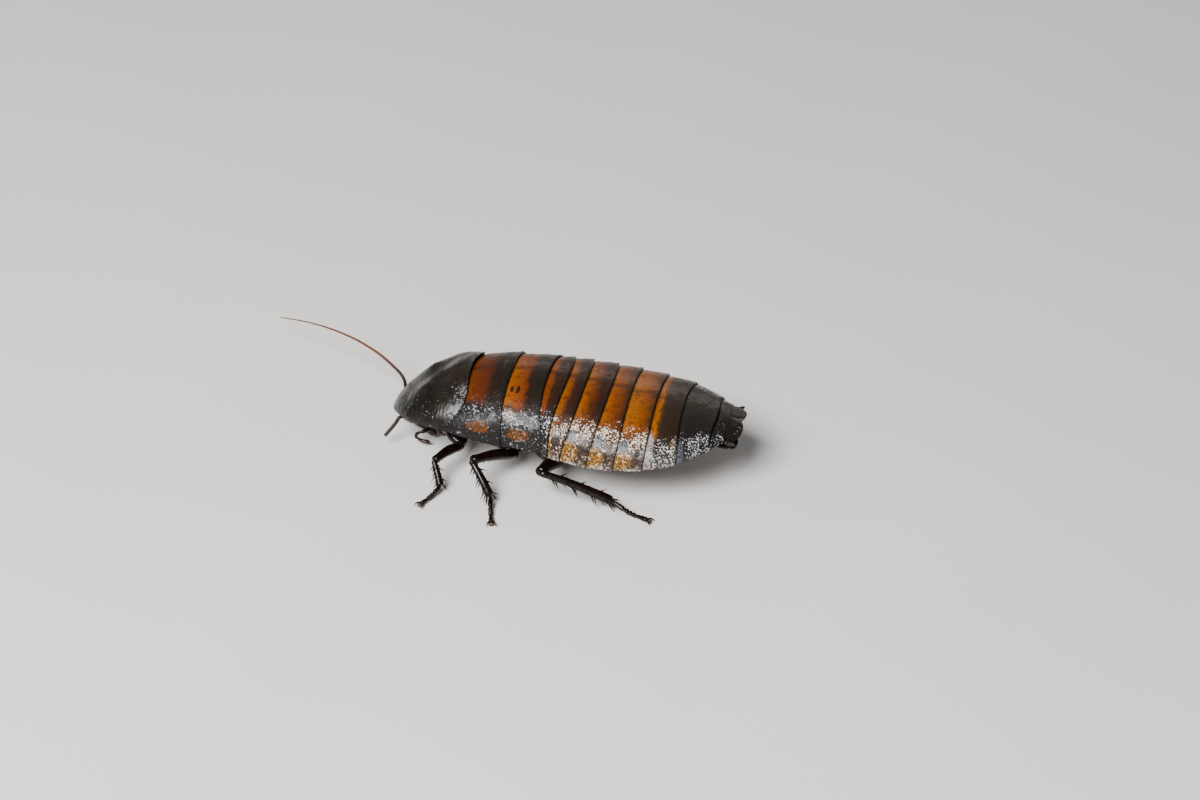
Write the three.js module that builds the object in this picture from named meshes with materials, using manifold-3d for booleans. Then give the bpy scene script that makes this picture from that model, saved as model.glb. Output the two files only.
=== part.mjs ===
// Madagascar hissing cockroach, adult female, life size, standing on six feet.
// Millimetres. +X runs from the head to the tail, +Y to the animal's right, +Z up, the floor is z = 0.
// The long axis starts at the front tip of the pronotum (x = 0) and ends at the tail plate (x = 62).

import * as THREE from "three";
import { mergeVertices } from "three/addons/utils/BufferGeometryUtils.js";
import Module from "manifold-3d";

const wasm = await Module();
wasm.setup();

// Driving dimensions
const GAP = 0.3; // kept between pieces that meet
const PLATE_GAP = 0.5; // the same along the body, wider because the margins slant
const PLATE_STEP = 0.5; // how far the rear edge of a plate stands over the next plate
const TUCK = 0.3; // how far the front of a plate dips under the one before it
const RIM = 0.55; // thickness of a plate's side rim
const BELLY_SHARE = 0.82; // half width of the belly over that of the plate above it
const BELLY_POWER = 0.6;
const AROUND = 32; // facets round the trunk
const ALONG = 4; // facets along one trunk segment

// Trunk profiles: x, half width, height of the side edge, dome above the edge, belly below it
const THORAX = [
  [12.0, 11.0, 8.9, 6.0, 3.0],
  [16.0, 11.6, 8.6, 7.2, 3.6],
  [20.6, 12.0, 8.4, 8.3, 4.1],
  [25.0, 12.3, 8.5, 8.4, 4.3],
  [29.5, 12.5, 8.5, 8.5, 4.4],
];
const ABDOMEN = [
  [27.5, 12.9, 8.2, 8.7, 3.5],
  [32.0, 13.5, 8.1, 8.6, 3.6],
  [37.0, 14.0, 7.8, 8.6, 3.8],
  [42.0, 14.2, 8.2, 7.4, 3.8],
  [47.0, 13.5, 8.7, 6.2, 3.6],
  [52.0, 11.9, 9.6, 4.4, 3.2],
  [56.0, 8.9, 10.5, 2.5, 2.6],
  [59.0, 5.8, 11.2, 1.3, 1.8],
  [62.5, 3.5, 11.8, 0.8, 1.2],
];

// Rear margins of the plates: x on the midline, then how far it bends over the flank and how far it turns at the rim
const MARGINS = {
  pronotum: [13.9, 2.0, -3.3],
  mesothorax: [21.2, -0.2, 0.7],
  metathorax: [27.5, 0.2, 1.4],
  abdomen_1: [31.0, -1.9, 0.9],
  abdomen_2: [34.2, -1.0, -0.9],
  abdomen_3: [38.6, -1.1, -0.5],
  abdomen_4: [42.1, 0.1, -0.5],
  abdomen_5: [46.6, 0.3, -0.3],
  abdomen_6: [51.2, 0.9, -0.1],
  abdomen_7: [57.1, -1.0, 1.2],
  abdomen_8: [59.3, -0.6, 0.4],
};

// Pronotum
const SHIELD = { halfWidth: 10.8, widestAt: 11.4, thickness: 1.1 };
const SHIELD_EDGE = [[0, 6.0], [2, 7.2], [5, 8.2], [10, 8.9], [15.5, 8.7]]; // x, height of the rim
const SHIELD_DOME = [[0, 0], [1, 1.0], [4, 2.6], [8, 4.9], [10.5, 6.3], [13, 7.2], [15.5, 7.7]]; // x, dome
const TUBERCLE = { x: 6.3, y: 3.8, height: 0.95, spread: 1.3 };
const HOLLOW = { x: 9.2, y: 3.4, depth: 0.55, spread: 1.6 }; // behind each tubercle
const SHIELD_LIP = 0.22; // the raised border

// Head, which leans back under the pronotum
const HEAD = { x: 4.9, z: 4.3, half: [3.9, 2.9, 1.9], lean: 47 };
const EYE = { along: -0.42, side: 0.82, half: [1.5, 0.8, 1.1] };
const SOCKET = { along: -0.2, side: 0.5, front: 0.85 };
// Mouthparts: centre and half sizes along the head, to the side and towards the back of it
const CLYPEUS = [[2.5, 0, -0.85], [1.25, 1.45, 0.75]];
const LABRUM = [[3.75, 0, -0.7], [0.8, 1.0, 0.5]];
const JAW = [[3.3, 1.35, 0.0], [1.2, 0.7, 0.8]];
const LOWER_LIP = [[3.3, 0, 1.05], [1.35, 1.25, 0.55]];

// Colours and finishes
const FINISH = {
  shield: new THREE.MeshStandardMaterial({ color: 0x17130f, roughness: 0.32, metalness: 0 }),
  thorax: new THREE.MeshStandardMaterial({ color: 0x3a1a0d, roughness: 0.33, metalness: 0 }),
  abdomen: new THREE.MeshStandardMaterial({ color: 0x9a4b10, roughness: 0.35, metalness: 0 }),
  tail: new THREE.MeshStandardMaterial({ color: 0x211712, roughness: 0.36, metalness: 0 }),
  head: new THREE.MeshStandardMaterial({ color: 0x1b100b, roughness: 0.3, metalness: 0 }),
  eye: new THREE.MeshStandardMaterial({ color: 0x0b0707, roughness: 0.15, metalness: 0 }),
  leg: new THREE.MeshStandardMaterial({ color: 0x1e0f0a, roughness: 0.28, metalness: 0 }),
  feeler: new THREE.MeshStandardMaterial({ color: 0x4a2f1b, roughness: 0.45, metalness: 0 }),
};

const animal = new THREE.Group();

// Solid modelling helpers

function solid(geometry) {
  const bare = geometry.clone();
  bare.deleteAttribute("normal");
  bare.deleteAttribute("uv");
  const merged = mergeVertices(bare, 1e-4);
  return new wasm.Manifold(
    new wasm.Mesh({
      numProp: 3,
      vertProperties: merged.attributes.position.array,
      triVerts: new Uint32Array(merged.index.array),
    }),
  );
}

function union(pieces) {
  return pieces.reduce((whole, piece) => whole.add(piece));
}

// The largest closed body, so that no scrap of a cut is left beside it.
function largest(shape) {
  return shape.decompose().sort((a, b) => b.volume() - a.volume())[0];
}

function addNode(name, shape, finish) {
  const mesh = largest(shape).getMesh();
  const geometry = new THREE.BufferGeometry();
  geometry.setAttribute("position", new THREE.BufferAttribute(new Float32Array(mesh.vertProperties), 3));
  geometry.setIndex(new THREE.BufferAttribute(new Uint32Array(mesh.triVerts), 1));
  geometry.computeVertexNormals();
  const node = new THREE.Mesh(geometry, FINISH[finish]);
  node.name = name;
  animal.add(node);
}

// A closed cylinder whose every vertex is placed by place(angle, share of the length, share of the radius).
function formedCylinder(sides, steps, place) {
  const geometry = new THREE.CylinderGeometry(1, 1, 1, sides, steps);
  const position = geometry.attributes.position;
  for (let i = 0; i < position.count; i++) {
    const radius = Math.hypot(position.getX(i), position.getZ(i));
    const angle = Math.atan2(position.getZ(i), position.getX(i));
    position.setXYZ(i, ...place(angle, 0.5 - position.getY(i), radius));
  }
  return solid(geometry);
}

// A smooth curve through rows of [x, value, value, ...]; returns the values at x.
function profile(rows, x) {
  const last = rows.length - 2;
  const next = rows.findIndex((row) => row[0] > x);
  const i = next < 0 ? last : Math.max(0, next - 1);
  const [p0, p1, p2, p3] = [rows[Math.max(0, i - 1)], rows[i], rows[i + 1], rows[Math.min(last + 1, i + 2)]];
  const span = p2[0] - p1[0];
  const t = THREE.MathUtils.clamp((x - p1[0]) / span, 0, 1);
  return p1.slice(1).map((start, k) => {
    const c = k + 1;
    const leaving = (span * (p2[c] - p0[c])) / (p2[0] - p0[0]);
    const arriving = (span * (p3[c] - p1[c])) / (p3[0] - p1[0]);
    const rise = p2[c] - start;
    return start + t * (leaving + t * (3 * rise - 2 * leaving - arriving + t * (leaving + arriving - 2 * rise)));
  });
}

function bump(distance, spread) {
  return Math.exp((-distance * distance) / (2 * spread * spread));
}

// A limb piece: a tube along a curve. radii holds rows of [share of the length, half width, half thickness].
function limb(curve, radii, sides, steps, grow = 0) {
  const up = new THREE.Vector3(0, 0, 1);
  return formedCylinder(sides, steps, (angle, share, radius) => {
    const tangent = curve.getTangentAt(share);
    const across = new THREE.Vector3().crossVectors(up, tangent).normalize();
    const over = new THREE.Vector3().crossVectors(tangent, across);
    const [width, thickness] = profile(radii, share);
    return curve
      .getPointAt(share)
      .addScaledVector(tangent, grow * (2 * share - 1))
      .addScaledVector(across, radius * Math.cos(angle) * (width + grow))
      .addScaledVector(over, radius * Math.sin(angle) * (thickness + grow))
      .toArray();
  });
}

function spline(...points) {
  return new THREE.CatmullRomCurve3(points.map((p) => new THREE.Vector3(...p)));
}

// A spine: a cone from root towards the given direction, its root sunk in by a share of its length.
function spine(root, direction, length, radius) {
  const cone = new THREE.ConeGeometry(radius, length, 5);
  cone.translate(0, length * 0.5 - length * 0.22, 0);
  cone.applyQuaternion(
    new THREE.Quaternion().setFromUnitVectors(new THREE.Vector3(0, 1, 0), direction.clone().normalize()),
  );
  cone.translate(...root.toArray());
  return solid(cone);
}

// Trunk segments

// One point of the trunk's cross-section. angle 0 to 180 degrees goes over the back, the rest under the belly.
function trunkPoint(rows, angle, x, radius, raise, grow) {
  const [width, edge, dome, belly] = profile(rows, x);
  const w = width + 0.6 * raise + grow;
  const y = w * Math.cos(angle);
  const q = Math.abs(y) / w;
  let z = edge + (dome + raise + grow) * Math.sin(angle);
  if (Math.sin(angle) < -1e-6) {
    const inner = Math.max(0, 1 - (q / BELLY_SHARE) ** 2);
    z = edge - RIM - grow - belly * inner ** BELLY_POWER;
  }
  const middle = edge + 0.3 * dome;
  return [x, radius * y, middle + radius * (z - middle)];
}

function marginAt([middle, bend, turn], q) {
  return middle + bend * q ** 2 + turn * q ** 6;
}

// A segment of the trunk between two margins, its plate rising to a step at the rear.
function trunkSegment(rows, front, rear, grow = 0) {
  const ends = grow ? -grow : PLATE_GAP / 2;
  return formedCylinder(AROUND, ALONG, (angle, share, radius) => {
    const q = Math.abs(Math.cos(angle)) * radius;
    const from = marginAt(front, q) + ends;
    const to = marginAt(rear, q) - ends;
    const x = THREE.MathUtils.lerp(from, to, share);
    const raise = PLATE_STEP * share ** 1.4 - TUCK * Math.max(0, 1 - share / 0.2);
    return trunkPoint(rows, angle, x, radius, raise, grow);
  });
}

// Pronotum: a domed shield with two low tubercles

function shieldHalfWidth(x) {
  const ahead = THREE.MathUtils.clamp((SHIELD.widestAt - x) / SHIELD.widestAt, 0, 1);
  return SHIELD.halfWidth * (1 - ahead ** (1 / 0.58)) ** (1 / 1.7);
}

function shieldTop(x, y) {
  const [edge] = profile(SHIELD_EDGE, x);
  const [dome] = profile(SHIELD_DOME, x);
  const q = Math.min(1, Math.abs(y) / Math.max(0.01, shieldHalfWidth(x)));
  const arch = Math.sqrt(Math.max(0, 1 - q * q));
  const away = (spot) => bump(Math.hypot(x - spot.x, Math.abs(y) - spot.y), spot.spread);
  return edge + dome * arch + TUBERCLE.height * away(TUBERCLE) - HOLLOW.depth * away(HOLLOW);
}

// The sphere's poles become the two side corners, and each circle between them a front-to-rear loop.
function shield(grow = 0) {
  const geometry = new THREE.SphereGeometry(1, 22, 20);
  const position = geometry.attributes.position;
  for (let i = 0; i < position.count; i++) {
    const eta = position.getY(i);
    const loop = Math.atan2(position.getZ(i), -position.getX(i));
    const y = eta * (SHIELD.halfWidth + grow);
    const reach = Math.sqrt(Math.max(0, 1 - eta * eta));
    const nose = Math.max(0, 1 - Math.abs(eta) ** 1.7) ** 0.58;
    const front = SHIELD.widestAt * (1 - nose) - grow * reach;
    const square = Math.sqrt(Math.max(0, 1 - eta ** 14));
    const margin = marginAt(MARGINS.pronotum, Math.abs(eta)) - GAP / 2;
    const rear = THREE.MathUtils.lerp(SHIELD.widestAt, margin, square) + grow * reach;
    const x = THREE.MathUtils.lerp(front, rear, (1 - Math.cos(loop)) / 2);
    const border = reach * Math.abs(Math.sin(loop));
    const half = 0.5 * SHIELD.thickness * Math.min(1, 0.4 + border) + grow;
    const top = shieldTop(x, y) + SHIELD_LIP * bump(border, 0.12) + grow;
    const side = Math.sign(Math.sin(loop)) * Math.min(1, 2.5 * border) ** 0.5;
    position.setXYZ(i, x, y, top - half * (1 - side));
  }
  return solid(geometry);
}

// Head

const headFrame = new THREE.Matrix4()
  .makeTranslation(HEAD.x, 0, HEAD.z)
  .multiply(new THREE.Matrix4().makeRotationY(THREE.MathUtils.degToRad(HEAD.lean)));

// A point given along the head (-1 crown, +1 mouth), to the side and to the front, in half sizes.
function onHead(along, side, front) {
  const [a, b, c] = HEAD.half;
  return new THREE.Vector3(along * a, side * b, -front * c).applyMatrix4(headFrame);
}

function ellipsoid(centre, half, frame, sides = 16, rows = 10) {
  const geometry = new THREE.SphereGeometry(1, sides, rows);
  geometry.rotateX(Math.PI / 2);
  geometry.scale(...half);
  geometry.translate(...centre);
  geometry.applyMatrix4(frame);
  return solid(geometry);
}

function headShape(grow = 0) {
  const [a, b, c] = HEAD.half;
  const geometry = new THREE.SphereGeometry(1, 20, 14);
  geometry.rotateZ(Math.PI / 2);
  const position = geometry.attributes.position;
  for (let i = 0; i < position.count; i++) {
    const along = position.getX(i);
    const taper = 1 - 0.13 * along - 0.15 * Math.max(0, along) ** 2;
    position.setXYZ(
      i,
      along * (a + grow),
      position.getY(i) * (b * taper + grow),
      position.getZ(i) * (c * (1 - 0.15 * along) * (position.getZ(i) < 0 ? 0.9 : 1) + grow),
    );
  }
  geometry.applyMatrix4(headFrame);
  return solid(geometry);
}

function mouthpart([[along, aside, back], half], side, grow = 0) {
  return ellipsoid([along, aside * side, back], half.map((v) => v + grow), headFrame, 12, 8);
}

// Trunk and shield solids

const trunkRows = (name) => (name.startsWith("abdomen") ? ABDOMEN : THORAX);
const segmentNames = Object.keys(MARGINS);
const segments = segmentNames.slice(1).map((name, i) => {
  const rows = trunkRows(name);
  return [name, trunkSegment(rows, MARGINS[segmentNames[i]], MARGINS[name])];
});
const pronotum = shield();

// Every piece that grows from the trunk is cut clear of this slightly larger copy of it.
const trunkClear = union([
  trunkSegment(THORAX, MARGINS.pronotum, MARGINS.mesothorax, GAP),
  trunkSegment(THORAX, MARGINS.mesothorax, MARGINS.metathorax, GAP),
  trunkSegment(ABDOMEN, MARGINS.metathorax, MARGINS.abdomen_1, GAP),
  trunkSegment(ABDOMEN, MARGINS.abdomen_1, MARGINS.abdomen_2, GAP),
  trunkSegment(ABDOMEN, MARGINS.abdomen_2, MARGINS.abdomen_3, GAP),
]);

// The prothorax, which fills the shield behind the head and carries the front legs
function prothoraxShape(grow = 0) {
  const from = 6.2 - grow;
  const to = 15.2;
  return formedCylinder(24, 5, (angle, share, radius) => {
    const x = THREE.MathUtils.lerp(from, to, share);
    const width = 4.6 + 3.4 * Math.sqrt(share) + grow;
    const top = shieldTop(x, 0) - SHIELD.thickness - GAP - 0.15;
    const bottom = 4.4 - 1.0 * Math.sin(Math.PI * Math.min(1, share + 0.2)) - grow;
    const middle = 7.4;
    const height = Math.sin(angle) > 0 ? top + grow - middle : middle - bottom;
    return [x, radius * width * Math.cos(angle), middle + radius * height * Math.sin(angle)];
  });
}

const headBody = union([headShape(), mouthpart(CLYPEUS, 1)]);
const headClear = union([headShape(GAP), mouthpart(CLYPEUS, 1, GAP)]);
const jawsClear = union([mouthpart(JAW, -1, GAP), mouthpart(JAW, 1, GAP)]);
const mouthClear = union([jawsClear, mouthpart(LABRUM, 1, GAP), mouthpart(LOWER_LIP, 1, GAP)]);
const shieldClear = shield(GAP);
const prothorax = prothoraxShape().subtract(union([headClear, mouthClear, shieldClear, trunkClear]));
const prothoraxClear = prothoraxShape(GAP);

addNode("pronotum", pronotum, "shield");
addNode("prothorax", prothorax, "head");
for (const [name, shape] of segments) {
  const finish = name.startsWith("abdomen") ? (name > "abdomen_7" ? "tail" : "abdomen") : "thorax";
  addNode(name, shape, finish);
}
addNode("head", headBody.subtract(shieldClear), "head");
addNode("labrum", mouthpart(LABRUM, 1).subtract(headClear), "head");
addNode("jaw_left", mouthpart(JAW, -1).subtract(union([headClear, mouthpart(LABRUM, 1, GAP)])), "head");
addNode("jaw_right", mouthpart(JAW, 1).subtract(union([headClear, mouthpart(LABRUM, 1, GAP)])), "head");
addNode("lower_lip", mouthpart(LOWER_LIP, 1).subtract(union([headClear, jawsClear])), "head");

// Tail: the plate above the vent and the plate below it

function tailPlate(from, to, halfWidth, height, dome, thickness, notch, grow = 0) {
  return formedCylinder(24, 6, (angle, share, radius) => {
    const round = Math.sqrt(Math.max(0.02, 1 - share ** 3.2));
    const width = halfWidth * round + grow;
    const y = radius * width * Math.cos(angle);
    const cut = notch * bump(y, 1.0) * share;
    const x = THREE.MathUtils.lerp(from - grow, to + grow, share) - cut;
    const z = height + (x - from) * -0.1 + dome * (1 - (y / (halfWidth + 0.5)) ** 2);
    return [x, y, z + radius * (thickness * 0.5 + grow) * Math.sin(angle)];
  });
}
const rearMargin = MARGINS.abdomen_8[0];
const analPlate = (grow) => tailPlate(rearMargin, 61.8, 5.1, 11.1, 1.2, 1.3, 0.5, grow);
const genitalPlate = (grow) => tailPlate(rearMargin, 61.3, 4.8, 10.1, -0.9, 1.3, 0, grow);
const tailClear = trunkSegment(ABDOMEN, MARGINS.abdomen_7, MARGINS.abdomen_8, GAP);
addNode("anal_plate", analPlate(0).subtract(tailClear), "tail");
addNode("genital_plate", genitalPlate(0).subtract(union([analPlate(GAP), tailClear])), "tail");

// Cerci: a pair of short pointed feelers at the tail
for (const [side, hand] of [[-1, "left"], [1, "right"]]) {
  const path = spline([58.9, side * 4.4, 10.9], [60.0, side * 5.4, 11.0], [61.1, side * 6.1, 11.3]);
  const cercus = limb(path, [[0, 0.75, 0.6], [0.4, 0.7, 0.55], [1, 0.12, 0.12]], 8, 5);
  addNode(`cercus_${hand}`, cercus.subtract(union([analPlate(GAP), genitalPlate(GAP), tailClear])), "tail");
}

// Feelers and mouth palps

// The right antenna is whole; the left one is broken off a few joints beyond its base.
const rightSocket = onHead(SOCKET.along, SOCKET.side, SOCKET.front);
const leftSocket = onHead(SOCKET.along, -SOCKET.side, SOCKET.front);
const antennae = {
  right: {
    path: spline(rightSocket.toArray(), [0.9, 5.2, 4.7], [-0.3, 8.0, 5.8], [-3.0, 9.6, 7.4], [-8.5, 13.0, 8.4],
      [-14.2, 16.0, 8.4], [-20.6, 19.0, 7.6], [-27.0, 21.6, 6.2]),
    radii: [[0, 0.62, 0.62], [0.035, 0.6, 0.6], [0.05, 0.42, 0.42], [0.08, 0.38, 0.38], [0.6, 0.3, 0.3], [1, 0.17, 0.17]],
    steps: 36,
  },
  left: {
    path: spline(leftSocket.toArray(), [2.0, -3.2, 5.3], [1.3, -3.9, 4.3], [-0.25, -5.4, 2.35]),
    radii: [[0, 0.6, 0.6], [0.3, 0.56, 0.56], [0.42, 0.36, 0.36], [0.52, 0.42, 0.42], [0.9, 0.38, 0.38], [1, 0.36, 0.36]],
    steps: 12,
  },
};
for (const [hand, { path, radii, steps }] of Object.entries(antennae)) {
  const feeler = limb(path, radii, 6, steps);
  addNode(`antenna_${hand}`, feeler.subtract(headClear).subtract(shieldClear), "feeler");

  const side = hand === "left" ? -1 : 1;
  const centre = [EYE.along * HEAD.half[0], side * EYE.side * HEAD.half[1], -0.35 * HEAD.half[2]];
  const eye = ellipsoid(centre, EYE.half, headFrame, 12, 8);
  const clear = union([headClear, shieldClear, limb(path, radii, 8, 36, GAP)]);
  addNode(`eye_${hand}`, eye.subtract(clear), "eye");
}

for (const [side, hand] of [[-1, "left"], [1, "right"]]) {
  const root = onHead(0.72, side * 0.6, -0.3);
  const path = spline(root.toArray(), [6.3, side * 3.4, 3.1], [4.9, side * 3.6, 2.1], [5.5, side * 3.6, 1.4],
    [7.4, side * 3.6, 1.1]);
  const joints = [[0, 0.4, 0.4], [0.3, 0.32, 0.32], [0.33, 0.26, 0.26], [0.6, 0.34, 0.34], [0.64, 0.26, 0.26],
    [0.93, 0.36, 0.36], [1, 0.2, 0.2]];
  const palp = limb(path, joints, 6, 14);
  addNode(`palp_${hand}`, palp.subtract(union([headClear, mouthClear, prothoraxClear])), "feeler");
}

// Legs. Each is given by its hip, the end of the coxa, the knee, the ankle and the tip of the foot.
const LEGS = {
  fore_left: { hip: [11.0, -3.0, 5.8], coxa: [14.0, -6.9, 3.7], knee: [10.6, -13.8, 4.6], ankle: [12.4, -16.4, 1.4],
    toe: [10.2, -21.0, 0.5], size: 0.86, spines: 7 },
  fore_right: { hip: [11.0, 3.0, 5.8], coxa: [13.2, 7.0, 3.7], knee: [7.8, 12.2, 4.9], ankle: [6.4, 15.6, 1.4],
    toe: [3.4, 18.8, 0.5], size: 0.86, spines: 7 },
  middle_left: { hip: [19.8, -3.0, 5.2], coxa: [23.6, -6.6, 3.3], knee: [17.3, -14.5, 6.3], ankle: [21.4, -17.6, 1.7],
    toe: [22.9, -23.3, 0.5], size: 1.0, spines: 10 },
  middle_right: { hip: [19.8, 3.0, 5.2], coxa: [23.6, 6.6, 3.3], knee: [21.4, 15.6, 6.5], ankle: [25.8, 19.6, 1.7],
    toe: [29.8, 24.0, 0.5], size: 1.0, spines: 10 },
  hind_left: { hip: [26.6, -3.0, 4.9], coxa: [31.0, -6.2, 2.7], knee: [29.2, -14.4, 5.8], ankle: [41.9, -13.9, 1.7],
    toe: [48.4, -16.2, 0.5], size: 1.12, spines: 13 },
  hind_right: { hip: [26.6, 3.0, 4.9], coxa: [31.0, 6.2, 2.7], knee: [32.2, 15.6, 6.1], ankle: [44.4, 18.6, 1.7],
    toe: [50.6, 21.8, 0.5], size: 1.12, spines: 13 },
};
const COXA_RADII = [[0, 1.9, 1.3], [0.5, 2.2, 1.35], [0.85, 1.5, 1.1], [1, 0.8, 0.7]];
const FEMUR_RADII = [[0, 0.7, 0.6], [0.12, 1.0, 0.85], [0.45, 1.2, 0.95], [0.85, 0.9, 0.78], [0.97, 0.8, 0.7],
  [1, 0.45, 0.4]];
const TIBIA_RADII = [[0, 0.5, 0.5], [0.08, 0.72, 0.68], [0.5, 0.78, 0.72], [0.93, 0.86, 0.8], [1, 0.6, 0.55]];
const TARSOMERES = [0.34, 0.47, 0.57, 0.66, 1.0]; // where each joint of the foot ends
const CLAW = { length: 1.25, radius: 0.27, spread: 0.55 };

function bent(from, to, lift) {
  const middle = from.map((v, i) => (v + to[i]) / 2);
  middle[2] += lift;
  return spline(from, middle, to);
}

function scaled(radii, size) {
  return radii.map(([share, width, thickness]) => [share, width * size, thickness * size]);
}

// Two rows of spines down the tibia, slanting towards the foot, with the longest at the ankle.
function tibiaSpines(path, count, size) {
  const up = new THREE.Vector3(0, 0, 1);
  return Array.from({ length: count }, (_, k) => {
    const share = 0.16 + (0.8 * k) / (count - 1);
    const tangent = path.getTangentAt(share);
    const across = new THREE.Vector3().crossVectors(up, tangent).normalize();
    const over = new THREE.Vector3().crossVectors(tangent, across);
    const turn = THREE.MathUtils.degToRad([-35, 205, 250, 15][k % 4]);
    const out = across.multiplyScalar(Math.cos(turn)).addScaledVector(over, Math.sin(turn));
    const root = path.getPointAt(share).addScaledVector(out, 0.62 * size);
    const length = size * (1.35 + 0.5 * share + 0.12 * Math.sin(5 * k));
    return spine(root, out.addScaledVector(tangent, 0.75), length, 0.27);
  });
}

// The foot: five joints, each widening to its pad, two claws and the pad between them, trimmed flat at the floor.
function foot(ankle, toe, size) {
  const start = new THREE.Vector3(...ankle);
  const end = new THREE.Vector3(...toe);
  const path = spline(ankle, start.clone().lerp(end, 0.45).setZ(0.72).toArray(), toe);
  const heading = end.clone().sub(start).setZ(0).normalize();
  const across = new THREE.Vector3(-heading.y, heading.x, 0);
  const radii = [[0, 0.36, 0.34]];
  TARSOMERES.forEach((stop, k) => {
    const begin = k ? TARSOMERES[k - 1] : 0;
    if (k) radii.push([begin + 0.015, 0.3, 0.28]);
    radii.push([stop - 0.03, 0.5, 0.5]);
  });
  radii.push([1, 0.34, 0.34]);
  const pad = ellipsoid([0, 0, 0], [0.75, 0.6, 0.42], new THREE.Matrix4().makeTranslation(end.x, end.y, 0.3), 8, 6);
  const heel = start.clone().lerp(end, 0.62);
  const sole = ellipsoid([0, 0, 0], [0.8, 0.62, 0.5], new THREE.Matrix4().makeTranslation(heel.x, heel.y, 0.3), 8, 6);
  const claws = [-1, 1].map((side) => {
    const root = end.clone().addScaledVector(across, 0.25 * side).setZ(0.55);
    const reach = heading.clone().addScaledVector(across, CLAW.spread * side).setZ(-0.28);
    return spine(root, reach, CLAW.length, CLAW.radius);
  });
  return union([limb(path, scaled(radii, size), 6, 14), pad, sole, ...claws]).trimByPlane([0, 0, 1], 0);
}

for (const [name, leg] of Object.entries(LEGS)) {
  const coxaPath = spline(leg.hip, leg.coxa);
  const femurPath = bent(leg.coxa, leg.knee, 0.5);
  const tibiaPath = bent(leg.knee, leg.ankle, 0.25);
  const coxaRadii = scaled(COXA_RADII, leg.size);
  const femurRadii = scaled(FEMUR_RADII, leg.size);
  const tibiaRadii = scaled(TIBIA_RADII, leg.size);
  const bodyClear = name.startsWith("fore") ? union([prothoraxClear, trunkClear, headClear]) : trunkClear;

  const coxa = limb(coxaPath, coxaRadii, 10, 4).subtract(bodyClear);
  const femur = limb(femurPath, femurRadii, 10, 7)
    .subtract(limb(coxaPath, coxaRadii, 10, 4, GAP))
    .subtract(bodyClear);
  const tibia = union([limb(tibiaPath, tibiaRadii, 10, 6), ...tibiaSpines(tibiaPath, leg.spines, leg.size)]);
  const tarsus = foot(leg.ankle, leg.toe, 0.8 + 0.25 * leg.size);

  addNode(`coxa_${name}`, coxa, "leg");
  addNode(`femur_${name}`, femur, "leg");
  addNode(`tibia_${name}`, tibia.subtract(limb(femurPath, femurRadii, 10, 7, GAP)), "leg");
  addNode(`tarsus_${name}`, tarsus.subtract(limb(tibiaPath, tibiaRadii, 10, 6, GAP)), "leg");
}

// The origin is on the floor under the middle of the whole animal.
const box = new THREE.Box3().setFromObject(animal);
const centre = box.getCenter(new THREE.Vector3());
animal.position.set(-centre.x, -centre.y, -box.min.z);

export default animal;
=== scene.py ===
import math
import random

import bmesh
import bpy
from mathutils import Matrix, Vector


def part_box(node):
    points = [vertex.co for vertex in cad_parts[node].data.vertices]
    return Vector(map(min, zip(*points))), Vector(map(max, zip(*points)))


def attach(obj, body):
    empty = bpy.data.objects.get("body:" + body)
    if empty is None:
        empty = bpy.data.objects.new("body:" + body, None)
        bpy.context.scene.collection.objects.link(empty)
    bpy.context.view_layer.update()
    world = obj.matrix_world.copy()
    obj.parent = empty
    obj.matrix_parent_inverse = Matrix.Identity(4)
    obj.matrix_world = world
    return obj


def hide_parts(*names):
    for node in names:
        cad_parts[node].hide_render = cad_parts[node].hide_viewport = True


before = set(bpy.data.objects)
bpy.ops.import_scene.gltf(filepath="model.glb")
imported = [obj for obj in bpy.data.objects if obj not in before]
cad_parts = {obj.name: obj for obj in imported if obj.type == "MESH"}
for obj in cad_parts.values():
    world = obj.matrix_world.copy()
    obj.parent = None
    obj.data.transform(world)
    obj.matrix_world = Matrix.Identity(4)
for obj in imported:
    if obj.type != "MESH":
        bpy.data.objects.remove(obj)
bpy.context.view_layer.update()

# Pieces are shaped in millimetres, x from the shield's front tip to the tail, y to the right and z up
# from the floor, and settle() then puts them in the frame, in metres.
MM = 0.001
SHIELD_LOW, SHIELD_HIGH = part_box("pronotum")
FRONT = SHIELD_LOW.x
MIDLINE = (SHIELD_LOW.y + SHIELD_HIGH.y) / 2

# Trunk stations: x, half width, height of the side edge, dome over it, belly under it
THORAX = [(12.0, 11.0, 8.9, 6.0, 3.0), (16.0, 11.6, 8.6, 7.2, 3.6), (20.6, 12.0, 8.4, 8.3, 4.1),
          (25.0, 12.3, 8.5, 8.4, 4.3), (29.5, 12.5, 8.5, 8.5, 4.4)]
ABDOMEN = [(27.5, 12.9, 8.2, 8.7, 3.5), (32.0, 13.5, 8.1, 8.6, 3.6), (37.0, 14.0, 7.8, 8.6, 3.8),
           (42.0, 14.2, 8.2, 7.4, 3.8), (47.0, 13.5, 8.7, 6.2, 3.6), (52.0, 11.9, 9.6, 4.4, 3.2),
           (56.0, 8.9, 10.5, 2.5, 2.6), (59.0, 5.8, 11.2, 1.3, 1.8), (62.5, 3.5, 11.8, 0.8, 1.2)]
WAIST = 28.5
# Rear margins of the plates: x on the midline, its bend over the flank, its turn at the rim
MARGINS = {
    "pronotum": (13.9, 2.0, -3.3), "mesothorax": (21.2, -0.2, 0.7), "metathorax": (27.5, 0.2, 1.4),
    "abdomen_1": (31.0, -1.9, 0.9), "abdomen_2": (34.2, -1.0, -0.9), "abdomen_3": (38.6, -1.1, -0.5),
    "abdomen_4": (42.1, 0.1, -0.5), "abdomen_5": (46.6, 0.3, -0.3), "abdomen_6": (51.2, 0.9, -0.1),
    "abdomen_7": (57.1, -1.0, 1.2), "abdomen_8": (59.3, -0.6, 0.4),
}
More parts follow.
